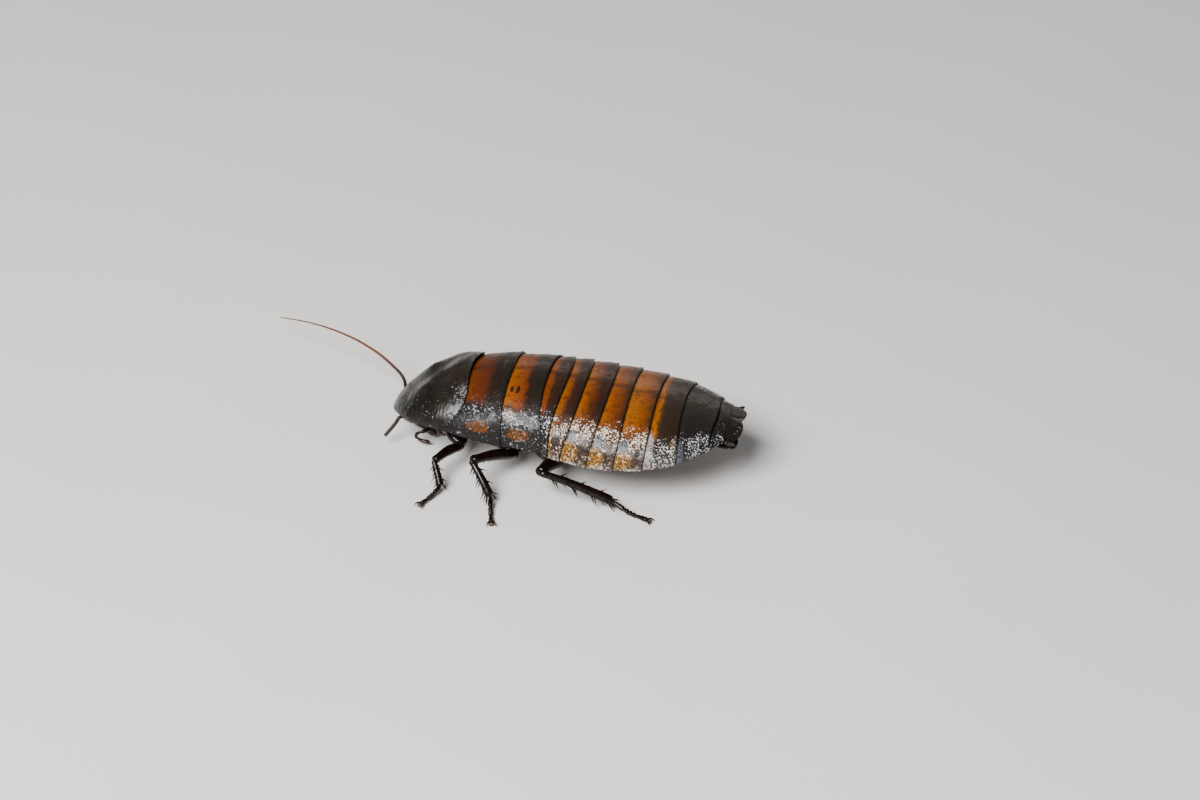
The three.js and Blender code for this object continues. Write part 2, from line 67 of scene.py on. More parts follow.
# Angles in degrees past which an edge looks sharp, on plates and on thin round limbs
CREASE, LIMB_CREASE = 35, 60


# Modelling helpers

def at(x, y, z):
    """A place on the body, in metres in the frame."""
    return Vector((FRONT + x * MM, MIDLINE + y * MM, z * MM))


def between(value, low, high):
    return low + (high - low) * value


def hump(distance, spread):
    """A smooth bell, 1 in its middle."""
    return math.exp(-distance * distance / (2 * spread * spread))


def mirrored(points, side):
    """The points of the right side, or their mirror images on the left where side is -1."""
    return [(x, side * y, z) for x, y, z in points]


def profile(rows, x):
    """A smooth curve through rows of (x, value, ...), read at x."""
    last = len(rows) - 2
    i = max(0, next((k - 1 for k, row in enumerate(rows) if row[0] > x), last))
    before, start, end, after = rows[max(0, i - 1)], rows[i], rows[i + 1], rows[min(last + 1, i + 2)]
    span = end[0] - start[0]
    t = min(1.0, max(0.0, (x - start[0]) / span))
    values = []
    for c in range(1, len(start)):
        leaving = span * (end[c] - before[c]) / (end[0] - before[0])
        arriving = span * (after[c] - start[c]) / (after[0] - start[0])
        rise = end[c] - start[c]
        bend = 3 * rise - 2 * leaving - arriving + t * (leaving + arriving - 2 * rise)
        values.append(start[c] + t * (leaving + t * bend))
    return values


def margin_at(margin, q):
    """Where a rear margin runs, from q 0 on the midline to q 1 at the rim."""
    middle, bend, turn = margin
    return middle + bend * q ** 2 + turn * q ** 6


def only(piece):
    bpy.ops.object.select_all(action="DESELECT")
    piece.select_set(True)
    bpy.context.view_layer.objects.active = piece


def edit(piece):
    only(piece)
    bpy.ops.object.mode_set(mode="EDIT")
    bpy.ops.mesh.select_mode(type="VERT")


def done():
    bpy.ops.object.mode_set(mode="OBJECT")


def named(name):
    piece = bpy.context.view_layer.objects.active
    piece.name = name
    piece.data.name = name
    return piece


def applied(piece):
    """Puts the piece's place, turn and size into its mesh."""
    only(piece)
    bpy.ops.object.transform_apply(location=True, rotation=True, scale=True)
    return piece


def moved(piece, matrix):
    piece.matrix_world = matrix @ piece.matrix_world
    return applied(piece)


def modify(piece, kind, **settings):
    only(piece)
    modifier = piece.modifiers.new(kind.lower(), kind)
    for key, value in settings.items():
        setattr(modifier, key, value)
    bpy.ops.object.modifier_apply(modifier=modifier.name)


def smoothed(piece, levels):
    modify(piece, "SUBSURF", levels=levels, render_levels=levels)
    return piece


def uneven(piece, size, strength):
    """Gentle dents and swellings, so that the gloss breaks up."""
    clouds = bpy.data.textures.new("clouds", "CLOUDS")
    clouds.noise_scale = size
    modify(piece, "DISPLACE", texture=clouds, texture_coords="LOCAL", strength=strength, mid_level=0.5)


def walled(piece, thickness, bevel, segments=2):
    """Gives a sheet its thickness, with rounded edges."""
    modify(piece, "SOLIDIFY", thickness=thickness, offset=-1, use_rim=True)
    modify(piece, "BEVEL", width=bevel, segments=segments, limit_method="ANGLE",
           angle_limit=math.radians(50))
    return piece


def outward(piece):
    edit(piece)
    bpy.ops.mesh.select_all(action="SELECT")
    bpy.ops.mesh.remove_doubles(threshold=1e-5)
    bpy.ops.mesh.normals_make_consistent(inside=False)
    done()
    return piece


def joined(name, pieces):
    only(pieces[0])
    for piece in pieces:
        piece.select_set(True)
    bpy.ops.object.join()
    return named(name)


def settle(piece, finish, slot, *nodes, crease=CREASE):
    """The shaped piece goes to its place in the frame, in metres, with its finish."""
    applied(piece)
    piece.scale = (MM, MM, MM)
    piece.location = (FRONT, MIDLINE, 0)
    applied(piece)
    bpy.ops.object.shade_smooth_by_angle(angle=math.radians(crease))
    piece.data.materials.clear()
    piece.data.materials.append(finish)
    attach(piece, "root")
    if nodes:
        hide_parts(*nodes)


# Forms made one by one

POLES_ALONG_X, POLES_ALONG_Y = (0, math.pi / 2, 0), (math.pi / 2, 0, 0)


def sheet(name, lengthwise, crosswise):
    """A flat grid of half size 1."""
    bpy.ops.object.select_all(action="DESELECT")
    bpy.ops.mesh.primitive_grid_add(x_subdivisions=lengthwise, y_subdivisions=crosswise, size=2)
    return named(name)


def ball(name, segments, rings, half=(1, 1, 1), centre=(0, 0, 0), poles=(0, 0, 0)):
    bpy.ops.object.select_all(action="DESELECT")
    bpy.ops.mesh.primitive_uv_sphere_add(segments=segments, ring_count=rings, radius=1,
                                         location=centre, rotation=poles, scale=half)
    return applied(named(name))


def cage(piece, place):
    """Pulls the points of a cage one by one to where place gives them."""
    edit(piece)
    bpy.ops.mesh.select_all(action="DESELECT")
    points = bmesh.from_edit_mesh(piece.data).verts
    points.ensure_lookup_table()
    for point in points:
        point.select = True
        bpy.ops.transform.translate(value=Vector(place(*point.co)) - point.co)
        point.select = False
    done()
    return piece


def turned(name, stations, sides):
    """A closed form along X: a filled circle extruded from one (x, half width, half height) to the next."""
    bpy.ops.object.select_all(action="DESELECT")
    bpy.ops.mesh.primitive_circle_add(vertices=sides, radius=1, fill_type="NGON", rotation=POLES_ALONG_X)
    piece = applied(named(name))
    edit(piece)
    x, width, height = stations[0]
    bpy.ops.mesh.select_all(action="SELECT")
    bpy.ops.transform.resize(value=(1, width, height), center_override=(0, 0, 0))
    bpy.ops.transform.translate(value=(x, 0, 0))
    for to, wide, high in stations[1:]:
        bpy.ops.mesh.extrude_region_move(TRANSFORM_OT_translate={"value": (to - x, 0, 0)})
        bpy.ops.transform.resize(value=(1, wide / width, high / height), center_override=(to, 0, 0))
        x, width, height = to, wide, high
    done()
    return outward(piece)


def limb(name, radii, length, sides=14, rings=36, size=1.0):
    """A limb piece with the girth of radii, rows of share, half width and half height, up to length."""
    stations = []
    for row, after in zip(radii, radii[1:]):
        steps = max(1, round(rings * (after[0] - row[0])))
        for k in range(steps):
            share = between(k / steps, row[0], after[0])
            wide, high = profile(radii, share)
            stations.append((share * length, wide * size, high * size))
    stations.append((length, radii[-1][1] * size, radii[-1][2] * size))
    return turned(name, stations, sides)


def guide_through(points):
    """A smooth curve through points."""
    curve = bpy.data.curves.new("guide", "CURVE")
    curve.dimensions = "3D"
    curve.twist_mode = "Z_UP"
    curve.resolution_u = 32
    spline = curve.splines.new("BEZIER")
    spline.bezier_points.add(len(points) - 1)
    for knot, point in zip(spline.bezier_points, points):
        knot.co = point
        knot.handle_left_type = knot.handle_right_type = "AUTO"
    guide = bpy.data.objects.new("guide", curve)
    bpy.context.collection.objects.link(guide)
    return guide


def reach(points):
    """The length of the smooth curve through points."""
    guide = guide_through(points)
    bpy.context.view_layer.update()
    length = guide.data.splines[0].calc_length()
    bpy.data.objects.remove(guide)
    return length


def along(piece, points):
    """Bends a straight form, from x = 0 to the length of the curve, along a smooth curve through points."""
    guide = guide_through(points)
    modify(piece, "CURVE", object=guide, deform_axis="POS_X")
    bpy.data.objects.remove(guide)
    return piece


# Shader helpers

class Wire:
    """An output socket, so that a sum in Python adds its Math nodes."""

    def __init__(self, finish, socket):
        self.finish = finish
        self.socket = socket

    def maths(self, operation, *values):
        return self.finish.node("Math", {"operation": operation}, dict(enumerate(values)))

    def __add__(self, other):
        return self.maths("ADD", self, other)

    __radd__ = __add__

    def __sub__(self, other):
        return self.maths("SUBTRACT", self, other)

    def __rsub__(self, other):
        return self.maths("SUBTRACT", other, self)

    def __mul__(self, other):
        return self.maths("MULTIPLY", self, other)

    __rmul__ = __mul__

    def __truediv__(self, other):
        return self.maths("DIVIDE", self, other)

    def __pow__(self, other):
        return self.maths("POWER", self, other)

    def __abs__(self):
        return self.maths("ABSOLUTE", self)

    def atleast(self, other):
        return self.maths("MAXIMUM", self, other)

    def atmost(self, other):
        return self.maths("MINIMUM", self, other)


class Finish:
    """One material, its nodes made by node() and the sums of Wire, with places in millimetres."""

    def __init__(self, name, **constants):
        self.material = bpy.data.materials.new(name)
        self.material.use_nodes = True
        self.tree = self.material.node_tree
        self.shader = self.tree.nodes["Principled BSDF"]
        for socket, value in constants.items():
            self.shader.inputs[socket.replace("_", " ")].default_value = value
        metres = self.node("TexCoord", out="Object")
        self.place = self.node("VectorMath", {"operation": "SCALE"}, {0: metres, "Scale": 1 / MM})

    def node(self, kind, settings=None, sockets=None, out=0):
        made = self.tree.nodes.new("ShaderNode" + kind)
        for key, value in (settings or {}).items():
            if key == "stops":
                ramp = made.color_ramp.elements
                while len(ramp) > 1:
                    ramp.remove(ramp[-1])
                ramp[0].position, ramp[0].color = value[0][0], (*value[0][1], 1)
                for place, colour in value[1:]:
                    ramp.new(place).color = (*colour, 1)
            else:
                setattr(made, key, value)
        for key, value in (sockets or {}).items():
            socket = made.inputs[key]
            if isinstance(value, Wire):
                self.tree.links.new(value.socket, socket)
            elif socket.type == "RGBA":
                socket.default_value = (*value, 1)
            else:
                socket.default_value = value
        return Wire(self, made.outputs[out])

    def axes(self, vector):
        """The x, y and z of a vector."""
        split = self.node("SeparateXYZ", None, {0: vector}).socket.node
        return [Wire(self, part) for part in split.outputs]

    def noise(self, scale, detail=2.0, rough=0.5, place=None):
        return self.node("TexNoise", None, {"Vector": place or self.place, "Scale": scale,
                                            "Detail": detail, "Roughness": rough})

    def cells(self, scale, randomness=1.0):
        return self.node("TexVoronoi", {"feature": "F1"},
                         {"Vector": self.place, "Scale": scale, "Randomness": randomness}, "Distance")

    def step(self, value, low, high):
        return self.node("MapRange", {"interpolation_type": "SMOOTHSTEP"},
                         {"Value": value, "From Min": low, "From Max": high})

    def ramp(self, value, *stops):
        return self.node("ValToRGB", {"stops": stops}, {"Fac": value})

    def mix(self, share, a, b):
        return self.node("Mix", {"data_type": "RGBA"}, {0: share, 6: a, 7: b}, 2)

    def feed(self, **wires):
        for socket, wire in wires.items():
            self.tree.links.new(wire.socket, self.shader.inputs[socket.replace("_", " ")])
        return self.material


# Camera, floor and lights, in metres

VIEW_TARGET = at(35.39, 7.11, 7.76)
VIEW_AZIMUTH, VIEW_ELEVATION, VIEW_ROLL = math.radians(9.5), math.radians(33.5), math.radians(2.8)
VIEW_DISTANCE, VIEW_NEAREST = 0.5, 0.01
VIEW_LENS, VIEW_SENSOR = 85.5, 36
FLOOR_SIZE = 24
FLOOR_TONES = (0.74, 0.72, 0.69), (0.80, 0.78, 0.75)
LIT_POINT = at(31, 0, 8)
SOFTBOXES = [  # name, place, size, power, colour
    ("softbox_key", (-0.16, -0.46, 0.50), (0.34, 0.30), 11, (1, 1, 1)),
    ("softbox_low", (0.22, -0.62, 0.15), (0.5, 0.10), 0.55, (1, 1, 1)),
    ("softbox_rim", (0.05, 0.75, 0.30), (0.7, 0.16), 0.9, (1, 0.93, 0.82)),
]
SKY_COLOUR, SKY_STRENGTH = (0.9, 0.93, 1.0, 1), 0.14


def camera():
    made = bpy.data.objects.new("camera", bpy.data.cameras.new("camera"))
    bpy.context.collection.objects.link(made)
    made.data.lens = VIEW_LENS
    made.data.sensor_width = VIEW_SENSOR
    made.data.clip_start = VIEW_NEAREST
    turn = Matrix.Rotation(VIEW_AZIMUTH, 4, "Z") @ Matrix.Rotation(math.pi / 2 - VIEW_ELEVATION, 4, "X")
    turn = turn @ Matrix.Rotation(VIEW_ROLL, 4, "Z")
    back = turn.to_3x3() @ Vector((0, 0, VIEW_DISTANCE))
    made.matrix_world = Matrix.Translation(VIEW_TARGET + back) @ turn
    bpy.context.scene.camera = made


def softbox(name, place, size, power, colour):
    light = bpy.data.objects.new(name, bpy.data.lights.new(name, "AREA"))
    bpy.context.collection.objects.link(light)
    light.data.shape = "RECTANGLE"
    light.data.size, light.data.size_y = size
    light.data.energy = power
    light.data.color = colour
    light.location = place
    light.rotation_euler = (LIT_POINT - Vector(place)).to_track_quat("-Z", "Y").to_euler()


def studio():
    bpy.ops.object.select_all(action="DESELECT")
    bpy.ops.mesh.primitive_plane_add(size=FLOOR_SIZE)
    floor = named("floor")
    paper = Finish("floor_paper", Roughness=0.85)
    floor.data.materials.append(paper.feed(Base_Color=paper.mix(paper.noise(0.02), *FLOOR_TONES)))
    for box in SOFTBOXES:
        softbox(*box)
    world = bpy.data.worlds.new("studio")
    bpy.context.scene.world = world
    world.use_nodes = True
    sky = world.node_tree.nodes["Background"].inputs
    sky["Color"].default_value = SKY_COLOUR
    sky["Strength"].default_value = SKY_STRENGTH


# Trunk plates

PLATE_TUCK = 0.25  # how far a plate reaches under the one before it, over its own length
TUCK_END, TUCK_DROP = 0.12, 0.35  # share where a plate comes out from there, and its depth under it
MARGIN_GAPS = 0.1, 0.05  # behind the front and the rear margin
PLATE_RISE, PLATE_THICKNESS = 0.5, 0.32
HEM, HEM_GROOVE = 0.86, 0.10
LIP, LIP_HEIGHT = 0.97, 0.12
BELLY_RISE, BELLY_THICKNESS = 0.28, 0.25
BELLY_REACH, BELLY_FLAT = 0.9, 0.82  # in half widths, where the belly's plates and its depth end
BELLY_INSET, BELLY_DROP = 0.35, 0.55  # of a belly plate's side edge, from the trunk's
SKIN_START, SKIN_END, SKIN_DEPTH = 12.5, 59.4, 0.55


def trunk_rows(node):
    return ABDOMEN if node.startswith("abdomen") else THORAX


def plate_share(u):
    return between((u + 1) / 2, -PLATE_TUCK, 1.0)


def plate_x(share, q, node, previous):
    """x at a share of a plate's length, from the margin before it to its own."""
    front_gap, rear_gap = MARGIN_GAPS
    front = margin_at(MARGINS[previous], q) + front_gap
    return between(share, front, margin_at(MARGINS[node], q) + rear_gap)


def standing(share, rise):
    """How far a plate stands off the trunk: sunk where it is tucked in, highest at its rear edge."""
    return rise * max(0, share) ** 1.4 - TUCK_DROP * max(0, TUCK_END - share) / (TUCK_END + PLATE_TUCK)


def belly_depth(q):
    """The share of its depth that the belly has, all on the midline and none from BELLY_FLAT outwards."""
    return max(0.0, 1 - (q / BELLY_FLAT) ** 2) ** 0.6


def plate(name, node, previous):
    """A back plate: a sheet folded over the trunk from rim to rim, its rear edge over the next one."""
    def place(u, v, _):
        share = plate_share(u)
        angle = math.radians(90 * (1 - abs(v)))
        q = math.cos(angle)
        x = plate_x(share, q, node, previous)
        width, edge, dome, _ = profile(trunk_rows(node), x)
        raised = standing(share, PLATE_RISE) - HEM_GROOVE * hump(share - HEM, 0.05)
        lip = LIP_HEIGHT * hump(abs(v) - LIP, 0.02)
        y = math.copysign((width + 0.6 * raised + lip) * q, v)
        return x, y, edge + (dome + raised) * math.sin(angle) + lip

    piece = smoothed(cage(sheet(name, 14, 34), place), 2)
    uneven(piece, 1.6, 0.10)
    return walled(piece, PLATE_THICKNESS, 0.07)


def belly_plate(name, node, previous):
    """A belly plate: a sheet under the trunk, its rear edge standing under the next one."""
    def place(u, v, _):
        share = plate_share(u)
        q = math.sin(math.pi / 2 * abs(v)) * BELLY_REACH
        x = plate_x(share, q, node, previous)
        width, edge, _, belly = profile(trunk_rows(node), x)
        y = -math.copysign((width - BELLY_INSET) * q, v)
        return x, y, edge - BELLY_DROP - (belly + standing(share, BELLY_RISE) - 0.3) * belly_depth(q)

    piece = smoothed(cage(sheet(name, 8, 26), place), 2)
    return walled(piece, BELLY_THICKNESS, 0.05, segments=1)


def membrane():
    """The soft skin under the plates, which shows in the seams between them."""
    bpy.ops.object.select_all(action="DESELECT")
    bpy.ops.mesh.primitive_cylinder_add(vertices=40, radius=1, depth=2, rotation=POLES_ALONG_X)
    piece = applied(named("trunk_membrane"))
    edit(piece)
    for edge in bmesh.from_edit_mesh(piece.data).edges:
        edge.select = abs(edge.verts[0].co.x - edge.verts[1].co.x) > 1
    bpy.ops.mesh.select_mode(type="EDGE")
    bpy.ops.mesh.subdivide(number_cuts=26)
    bpy.ops.mesh.select_mode(type="VERT")
    done()

    def place(x, y, z):
        station = between((x + 1) / 2, SKIN_START, SKIN_END)
        width, edge, dome, belly = profile(THORAX if station < WAIST else ABDOMEN, station)
        closing = min(1.0, 0.55 + (SKIN_END - station) / 3) * min(1.0, 0.7 + (station - SKIN_START) / 4)
        across = y * (width - SKIN_DEPTH) * closing
        if z > 0:
            return station, across, edge + (dome - SKIN_DEPTH) * z * closing
        return station, across, edge - 0.35 - (belly - 0.45) * belly_depth(abs(y)) * closing

    return smoothed(cage(piece, place), 1)


# Shield

SHIELD_HALF_WIDTH, SHIELD_WIDEST, SHIELD_THICKNESS = 10.8, 11.4, 1.1
NOSE_SIDE, NOSE_TIP = 1.7, 0.58  # exponents of the front margin's curve
SHIELD_EDGE = [(0, 6.0), (2, 7.2), (5, 8.2), (10, 8.9), (15.5, 8.7)]
SHIELD_DOME = [(0, 0), (1, 1.0), (4, 2.6), (8, 4.9), (10.5, 6.3), (13, 7.2), (15.5, 7.7)]
SHIELD_RIM = 0.24
TUBERCLE_X, TUBERCLE_Y, TUBERCLE_HEIGHT, TUBERCLE_SPREAD = 6.3, 3.8, 0.95, 1.3
HOLLOW_X, HOLLOW_Y, HOLLOW_DEPTH, HOLLOW_SPREAD = 9.2, 3.4, 0.55, 1.6
WRINKLE_X, WRINKLE_Y, WRINKLE_STEP, WRINKLE_DEPTH, WRINKLE_SPREAD = 9.4, 3.6, 1.15, 0.10, 0.22
MIDDLE_DEPTH, MIDDLE_SPREAD = 0.08, 0.25


def shield_top(x, y):
    ahead = min(1, max(0, (SHIELD_WIDEST - x) / SHIELD_WIDEST))
    half_width = SHIELD_HALF_WIDTH * (1 - ahead ** (1 / NOSE_TIP)) ** (1 / NOSE_SIDE)
    q = min(1, abs(y) / max(0.01, half_width))
    z = profile(SHIELD_EDGE, x)[0] + profile(SHIELD_DOME, x)[0] * math.sqrt(max(0, 1 - q * q))
    z += TUBERCLE_HEIGHT * hump(math.hypot(x - TUBERCLE_X, abs(y) - TUBERCLE_Y), TUBERCLE_SPREAD)
    z -= HOLLOW_DEPTH * hump(math.hypot(x - HOLLOW_X, abs(y) - HOLLOW_Y), HOLLOW_SPREAD)
    # Slanting wrinkles behind each tubercle and a faint line down the middle
    for k in range(3):
        groove_x = WRINKLE_X + WRINKLE_STEP * k + 0.35 * (abs(y) - 3)
        across = hump(abs(y) - WRINKLE_Y - 0.5 * k, 1.5)
        z -= WRINKLE_DEPTH * hump(x - groove_x, WRINKLE_SPREAD) * across
    return z - MIDDLE_DEPTH * hump(y, MIDDLE_SPREAD) * min(1, max(0, x - 3) / 3)


def shield_place(x, y, z):
    """The ball's poles become the two side corners, and each circle between them a front-to-rear loop."""
    loop = math.atan2(z, -x)
    spread = math.sqrt(max(0, 1 - y * y))
    nose = max(0, 1 - abs(y) ** NOSE_SIDE) ** NOSE_TIP
    square = math.sqrt(max(0, 1 - abs(y) ** 14))
    rear = between(square, SHIELD_WIDEST, margin_at(MARGINS["pronotum"], abs(y)) + MARGIN_GAPS[1])
    place_x = between((1 - math.cos(loop)) / 2, SHIELD_WIDEST * (1 - nose), rear)
    border = spread * abs(math.sin(loop))
    half = 0.5 * SHIELD_THICKNESS * min(1, 0.4 + border)
    top = shield_top(place_x, y * SHIELD_HALF_WIDTH) + SHIELD_RIM * hump(border, 0.10)
    side = math.copysign(min(1, 2.5 * border) ** 0.5, math.sin(loop)) if border > 1e-6 else 0
    return place_x, y * SHIELD_HALF_WIDTH, top - half * (1 - side)


def pronotum():
    piece = cage(ball("pronotum_shield", 44, 32, poles=POLES_ALONG_Y), shield_place)
    smoothed(outward(piece), 2)
    uneven(piece, 2.2, 0.16)
    return piece


# Head and throat

HEAD_HALF = (3.9, 2.9, 1.9)
HEAD_PLACE = Matrix.Translation((4.9, 0, 4.3)) @ Matrix.Rotation(math.radians(47), 4, "Y")
SOCKET = (-0.2, 0.5, 0.85)
SOCKET_DEPTH, SOCKET_RADIUS = 0.30, 0.42
SOCKET_RIM, SOCKET_RIM_RADIUS = 0.12, 0.72
SEAM_SPREAD = 0.13
EYE_CENTRE = (-0.42, 0.82, -0.35)
THROAT_START, THROAT_END, THROAT_HEIGHT, THROAT_LOW = 6.4, 15.6, 7.4, 4.7
THROAT_FULLEST = 1.9


def on_head(ahead, aside, front):
    """A point along the head (-1 crown, +1 mouth), to the side and to the front, in half sizes."""
    return HEAD_PLACE @ Vector((ahead * HEAD_HALF[0], aside * HEAD_HALF[1], -front * HEAD_HALF[2]))


def capsule_place(x, y, z):
    taper = 1 - 0.13 * x - 0.15 * max(0, x) ** 2
    deep = (1 - 0.15 * x) * (0.9 if z < 0 else 1)
    ahead, aside, back = x * HEAD_HALF[0], y * HEAD_HALF[1] * taper, z * HEAD_HALF[2] * deep
    if z < 0:
        socket = math.hypot(ahead - SOCKET[0] * HEAD_HALF[0], abs(aside) - SOCKET[1] * HEAD_HALF[1])
        back += SOCKET_DEPTH * hump(socket, SOCKET_RADIUS)
        back -= SOCKET_RIM * hump(socket - SOCKET_RIM_RADIUS, SEAM_SPREAD)
        # The forked seam of the crown, the seam over the clypeus and those of the cheeks
        fork = max(0, (ahead + 2.0) * 0.62)
        back += 0.12 * hump(abs(aside) - fork, 0.14) * (ahead < 0.2)
        back += 0.13 * hump(ahead - 1.35 - 0.12 * aside * aside, SEAM_SPREAD)
        back += 0.10 * hump(abs(aside) - 1.55, 0.12) * (ahead > 0.4)
    return ahead, aside, back


def capsule():
    piece = cage(ball("head_capsule", 40, 30, poles=POLES_ALONG_X), capsule_place)
    return moved(smoothed(outward(piece), 1), HEAD_PLACE)


def mouth_piece(name, half, centre, form):
    """One of the mouthparts: a ball pulled to its own form, set on the head."""
    def place(x, y, z):
        return [middle + value * size for middle, value, size in zip(centre, form(x, y, z), half)]

    piece = outward(cage(ball(name, 28, 18), place))
    return moved(smoothed(piece, 1), HEAD_PLACE)


def squared(x, y, z):
    """A ball with fuller corners."""
    swell = 1 + 0.22 * (1 - (x * x - y * y) ** 2) * (1 - z * z)
    return x * swell * 0.9, y * swell * 0.9, z


def notched(x, y, z):
    """The upper lip: fuller corners, a notch in the middle of its free edge."""
    x, y, z = squared(x, y, z)
    return x - 0.30 * hump(y, 0.22) * max(0, x), y, z


def toothed(side):
    """A jaw, thick at its root, that turns in to three teeth."""
    def form(x, y, z):
        bite = max(0, x) * max(0, -side * y)
        teeth = 0.22 * math.cos(9 * x) * bite
        return x + 0.10 * bite, y - side * (0.30 * max(0, x) ** 2 + teeth), z * (1 - 0.25 * max(0, x))
    return form


def kidney(x, y, z):
    """A compound eye, hollowed at its front edge round the root of the feeler."""
    return x * (1 - 0.1 * z), y, z + 0.30 * hump(x - 0.25, 0.35) * max(0, -z)


def throat():
    """The underside of the first thorax ring, which fills the shield behind the head."""
    def place(x, y, z):
        share = (1 + x) / 2
        station = between(share, THROAT_START, THROAT_END)
        fullness = min(THROAT_FULLEST, 1 / max(0.35, math.sqrt(max(0.0, 1 - x * x))))
        width = (4.4 + 3.3 * math.sqrt(share)) * fullness
        top = shield_top(station, 0) - SHIELD_THICKNESS - 0.6
        bottom = THROAT_LOW - 1.0 * math.sin(math.pi * min(1, share + 0.2))
        height = top - THROAT_HEIGHT if z > 0 else THROAT_HEIGHT - bottom
        fold = 1 - 0.035 * math.cos(station * 4.5)
        return station, y * width * fold, THROAT_HEIGHT + z * fullness * height * fold

    return smoothed(outward(cage(ball("throat", 32, 20, poles=POLES_ALONG_X), place)), 1)


# Feelers and palps

FEELER_PATHS = {
    "right": [(0.9, 5.2, 4.7), (-0.3, 8.0, 5.8), (-3.0, 9.6, 7.4), (-8.5, 13.0, 8.4), (-14.2, 16.0, 8.4),
              (-20.6, 19.0, 7.6), (-27.0, 21.6, 6.2)],
    "left": [(2.0, -3.2, 5.3), (1.3, -3.9, 4.3), (-0.25, -5.4, 2.35)],
}
SCAPE = [(0, 0.50), (0.25, 0.60), (1.1, 0.62), (1.5, 0.50), (1.58, 0.32)]
PEDICEL = [(1.62, 0.34), (1.75, 0.46), (2.15, 0.47), (2.3, 0.34), (2.34, 0.28)]
FEELER_GIRTHS = {"right": (0.36, 0.27), "left": (0.38, 0.05)}  # radius at the root, its loss to the tip
FIRST_RING, RING_LENGTH = 2.36, 0.36
RING_GIRTHS = ((0.06, 0.89), (0.30, 0.99), (0.82, 1.0), (0.97, 0.90))  # share of a ring, share of the radius
PALP_PATH = [(6.3, 3.4, 3.1), (4.9, 3.6, 2.1), (5.5, 3.6, 1.4), (7.4, 3.6, 1.1)]
PALP_JOINTS = [(0, .30, .30), (.10, .30, .30), (.13, .22, .22), (.16, .29, .29), (.34, .33, .31),
               (.38, .21, .21), (.41, .27, .26), (.62, .33, .31), (.66, .20, .20), (.70, .27, .26),
               (.86, .37, .33), (.95, .33, .30), (1, .16, .14)]
LIP_PALP_SIZE = 0.62


def feeler(side, hand):
    """A feeler: two thick joints at the root, then many short rings, ever thinner."""
    path = [tuple(on_head(SOCKET[0], SOCKET[1] * side, SOCKET[2] * 0.9))] + FEELER_PATHS[hand]
    length = reach(path)
    girth, loss = FEELER_GIRTHS[hand]
    stations = [(x, radius, radius) for x, radius in SCAPE + PEDICEL]
    x = FIRST_RING
    while x < length:
        share = x / length
        radius = girth - loss * share
        ring = RING_LENGTH * (1 + 0.5 * share)
        for part, swell in RING_GIRTHS:
            if x + part * ring < length:
                stations.append((x + part * ring, radius * swell, radius * swell))
        x += ring
    stations.append((length, stations[-1][1] * 0.6, stations[-1][2] * 0.6))
    return along(turned(f"feeler_{hand}", stations, 10), path)


def palp(side, hand):
    path = [tuple(on_head(0.72, side * 0.6, -0.3))] + mirrored(PALP_PATH, side)
    return along(limb(f"mouth_palp_{hand}", PALP_JOINTS, reach(path), rings=60), path)


def lip_palp(side, hand):
    """The short palp beside the lower lip."""
    start = on_head(0.95, side * 0.30, -0.75)
    bends = mirrored([(0, 0, 0), (0.4, 0.5, -0.7), (1.3, 0.7, -0.9)], side)
    path = [tuple(start + Vector(bend)) for bend in bends]
    piece = limb(f"lip_palp_{hand}", PALP_JOINTS, reach(path), sides=12, rings=48, size=LIP_PALP_SIZE)
    return along(piece, path)


# Legs

LEGS = {  # hip, end of the coxa, knee, ankle, tip of the foot, size, spines on the shin
    "fore_left": ((11.0, -3.0, 5.8), (14.0, -6.9, 3.7), (10.6, -13.8, 4.6), (12.4, -16.4, 1.4),
                  (10.2, -21.0, 0.5), 0.86, 7),
    "fore_right": ((11.0, 3.0, 5.8), (13.2, 7.0, 3.7), (7.8, 12.2, 4.9), (6.4, 15.6, 1.4),
                   (3.4, 18.8, 0.5), 0.86, 7),
    "middle_left": ((19.8, -3.0, 5.2), (23.6, -6.6, 3.3), (17.3, -14.5, 6.3), (21.4, -17.6, 1.7),
                    (22.9, -23.3, 0.5), 1.0, 10),
    "middle_right": ((19.8, 3.0, 5.2), (23.6, 6.6, 3.3), (21.4, 15.6, 6.5), (25.8, 19.6, 1.7),
                     (29.8, 24.0, 0.5), 1.0, 10),
    "hind_left": ((26.6, -3.0, 4.9), (31.0, -6.2, 2.7), (29.2, -14.4, 5.8), (41.9, -13.9, 1.7),
                  (48.4, -16.2, 0.5), 1.12, 13),
    "hind_right": ((26.6, 3.0, 4.9), (31.0, 6.2, 2.7), (32.2, 15.6, 6.1), (44.4, 18.6, 1.7),
                   (50.6, 21.8, 0.5), 1.12, 13),
}
COXA = [(0, 1.9, 1.3), (.5, 2.2, 1.35), (.85, 1.5, 1.1), (.95, .95, .8), (1, .8, .7)]
FEMUR = [(0, .62, .55), (.05, .80, .70), (.08, .70, .62), (.14, 1.0, .85), (.45, 1.2, .95),
         (.82, .92, .78), (.93, .92, .84), (.98, .80, .72), (1, .45, .4)]
TIBIA = [(0, .45, .45), (.05, .70, .66), (.10, .60, .58), (.5, .72, .66), (.92, .84, .78),
         (.98, .80, .72), (1, .5, .46)]
TARSOMERES = (0.34, 0.47, 0.57, 0.66, 1.0)  # where each joint of the foot ends
SPINE = [(-0.12, .9, .9), (0, 1, 1), (.3, .82, .82), (.6, .55, .55), (.85, .28, .28), (1, .05, .05)]
SPINE_TURNS = (-35, 205, 250, 15, -70, 165)
MORE_SPINES, SPURS, SHIN_BRISTLES, FOOT_BRISTLES = 6, 5, 26, 30
THIGH_LIFT, SHIN_LIFT, ARCH = 0.5, 0.25, 0.72
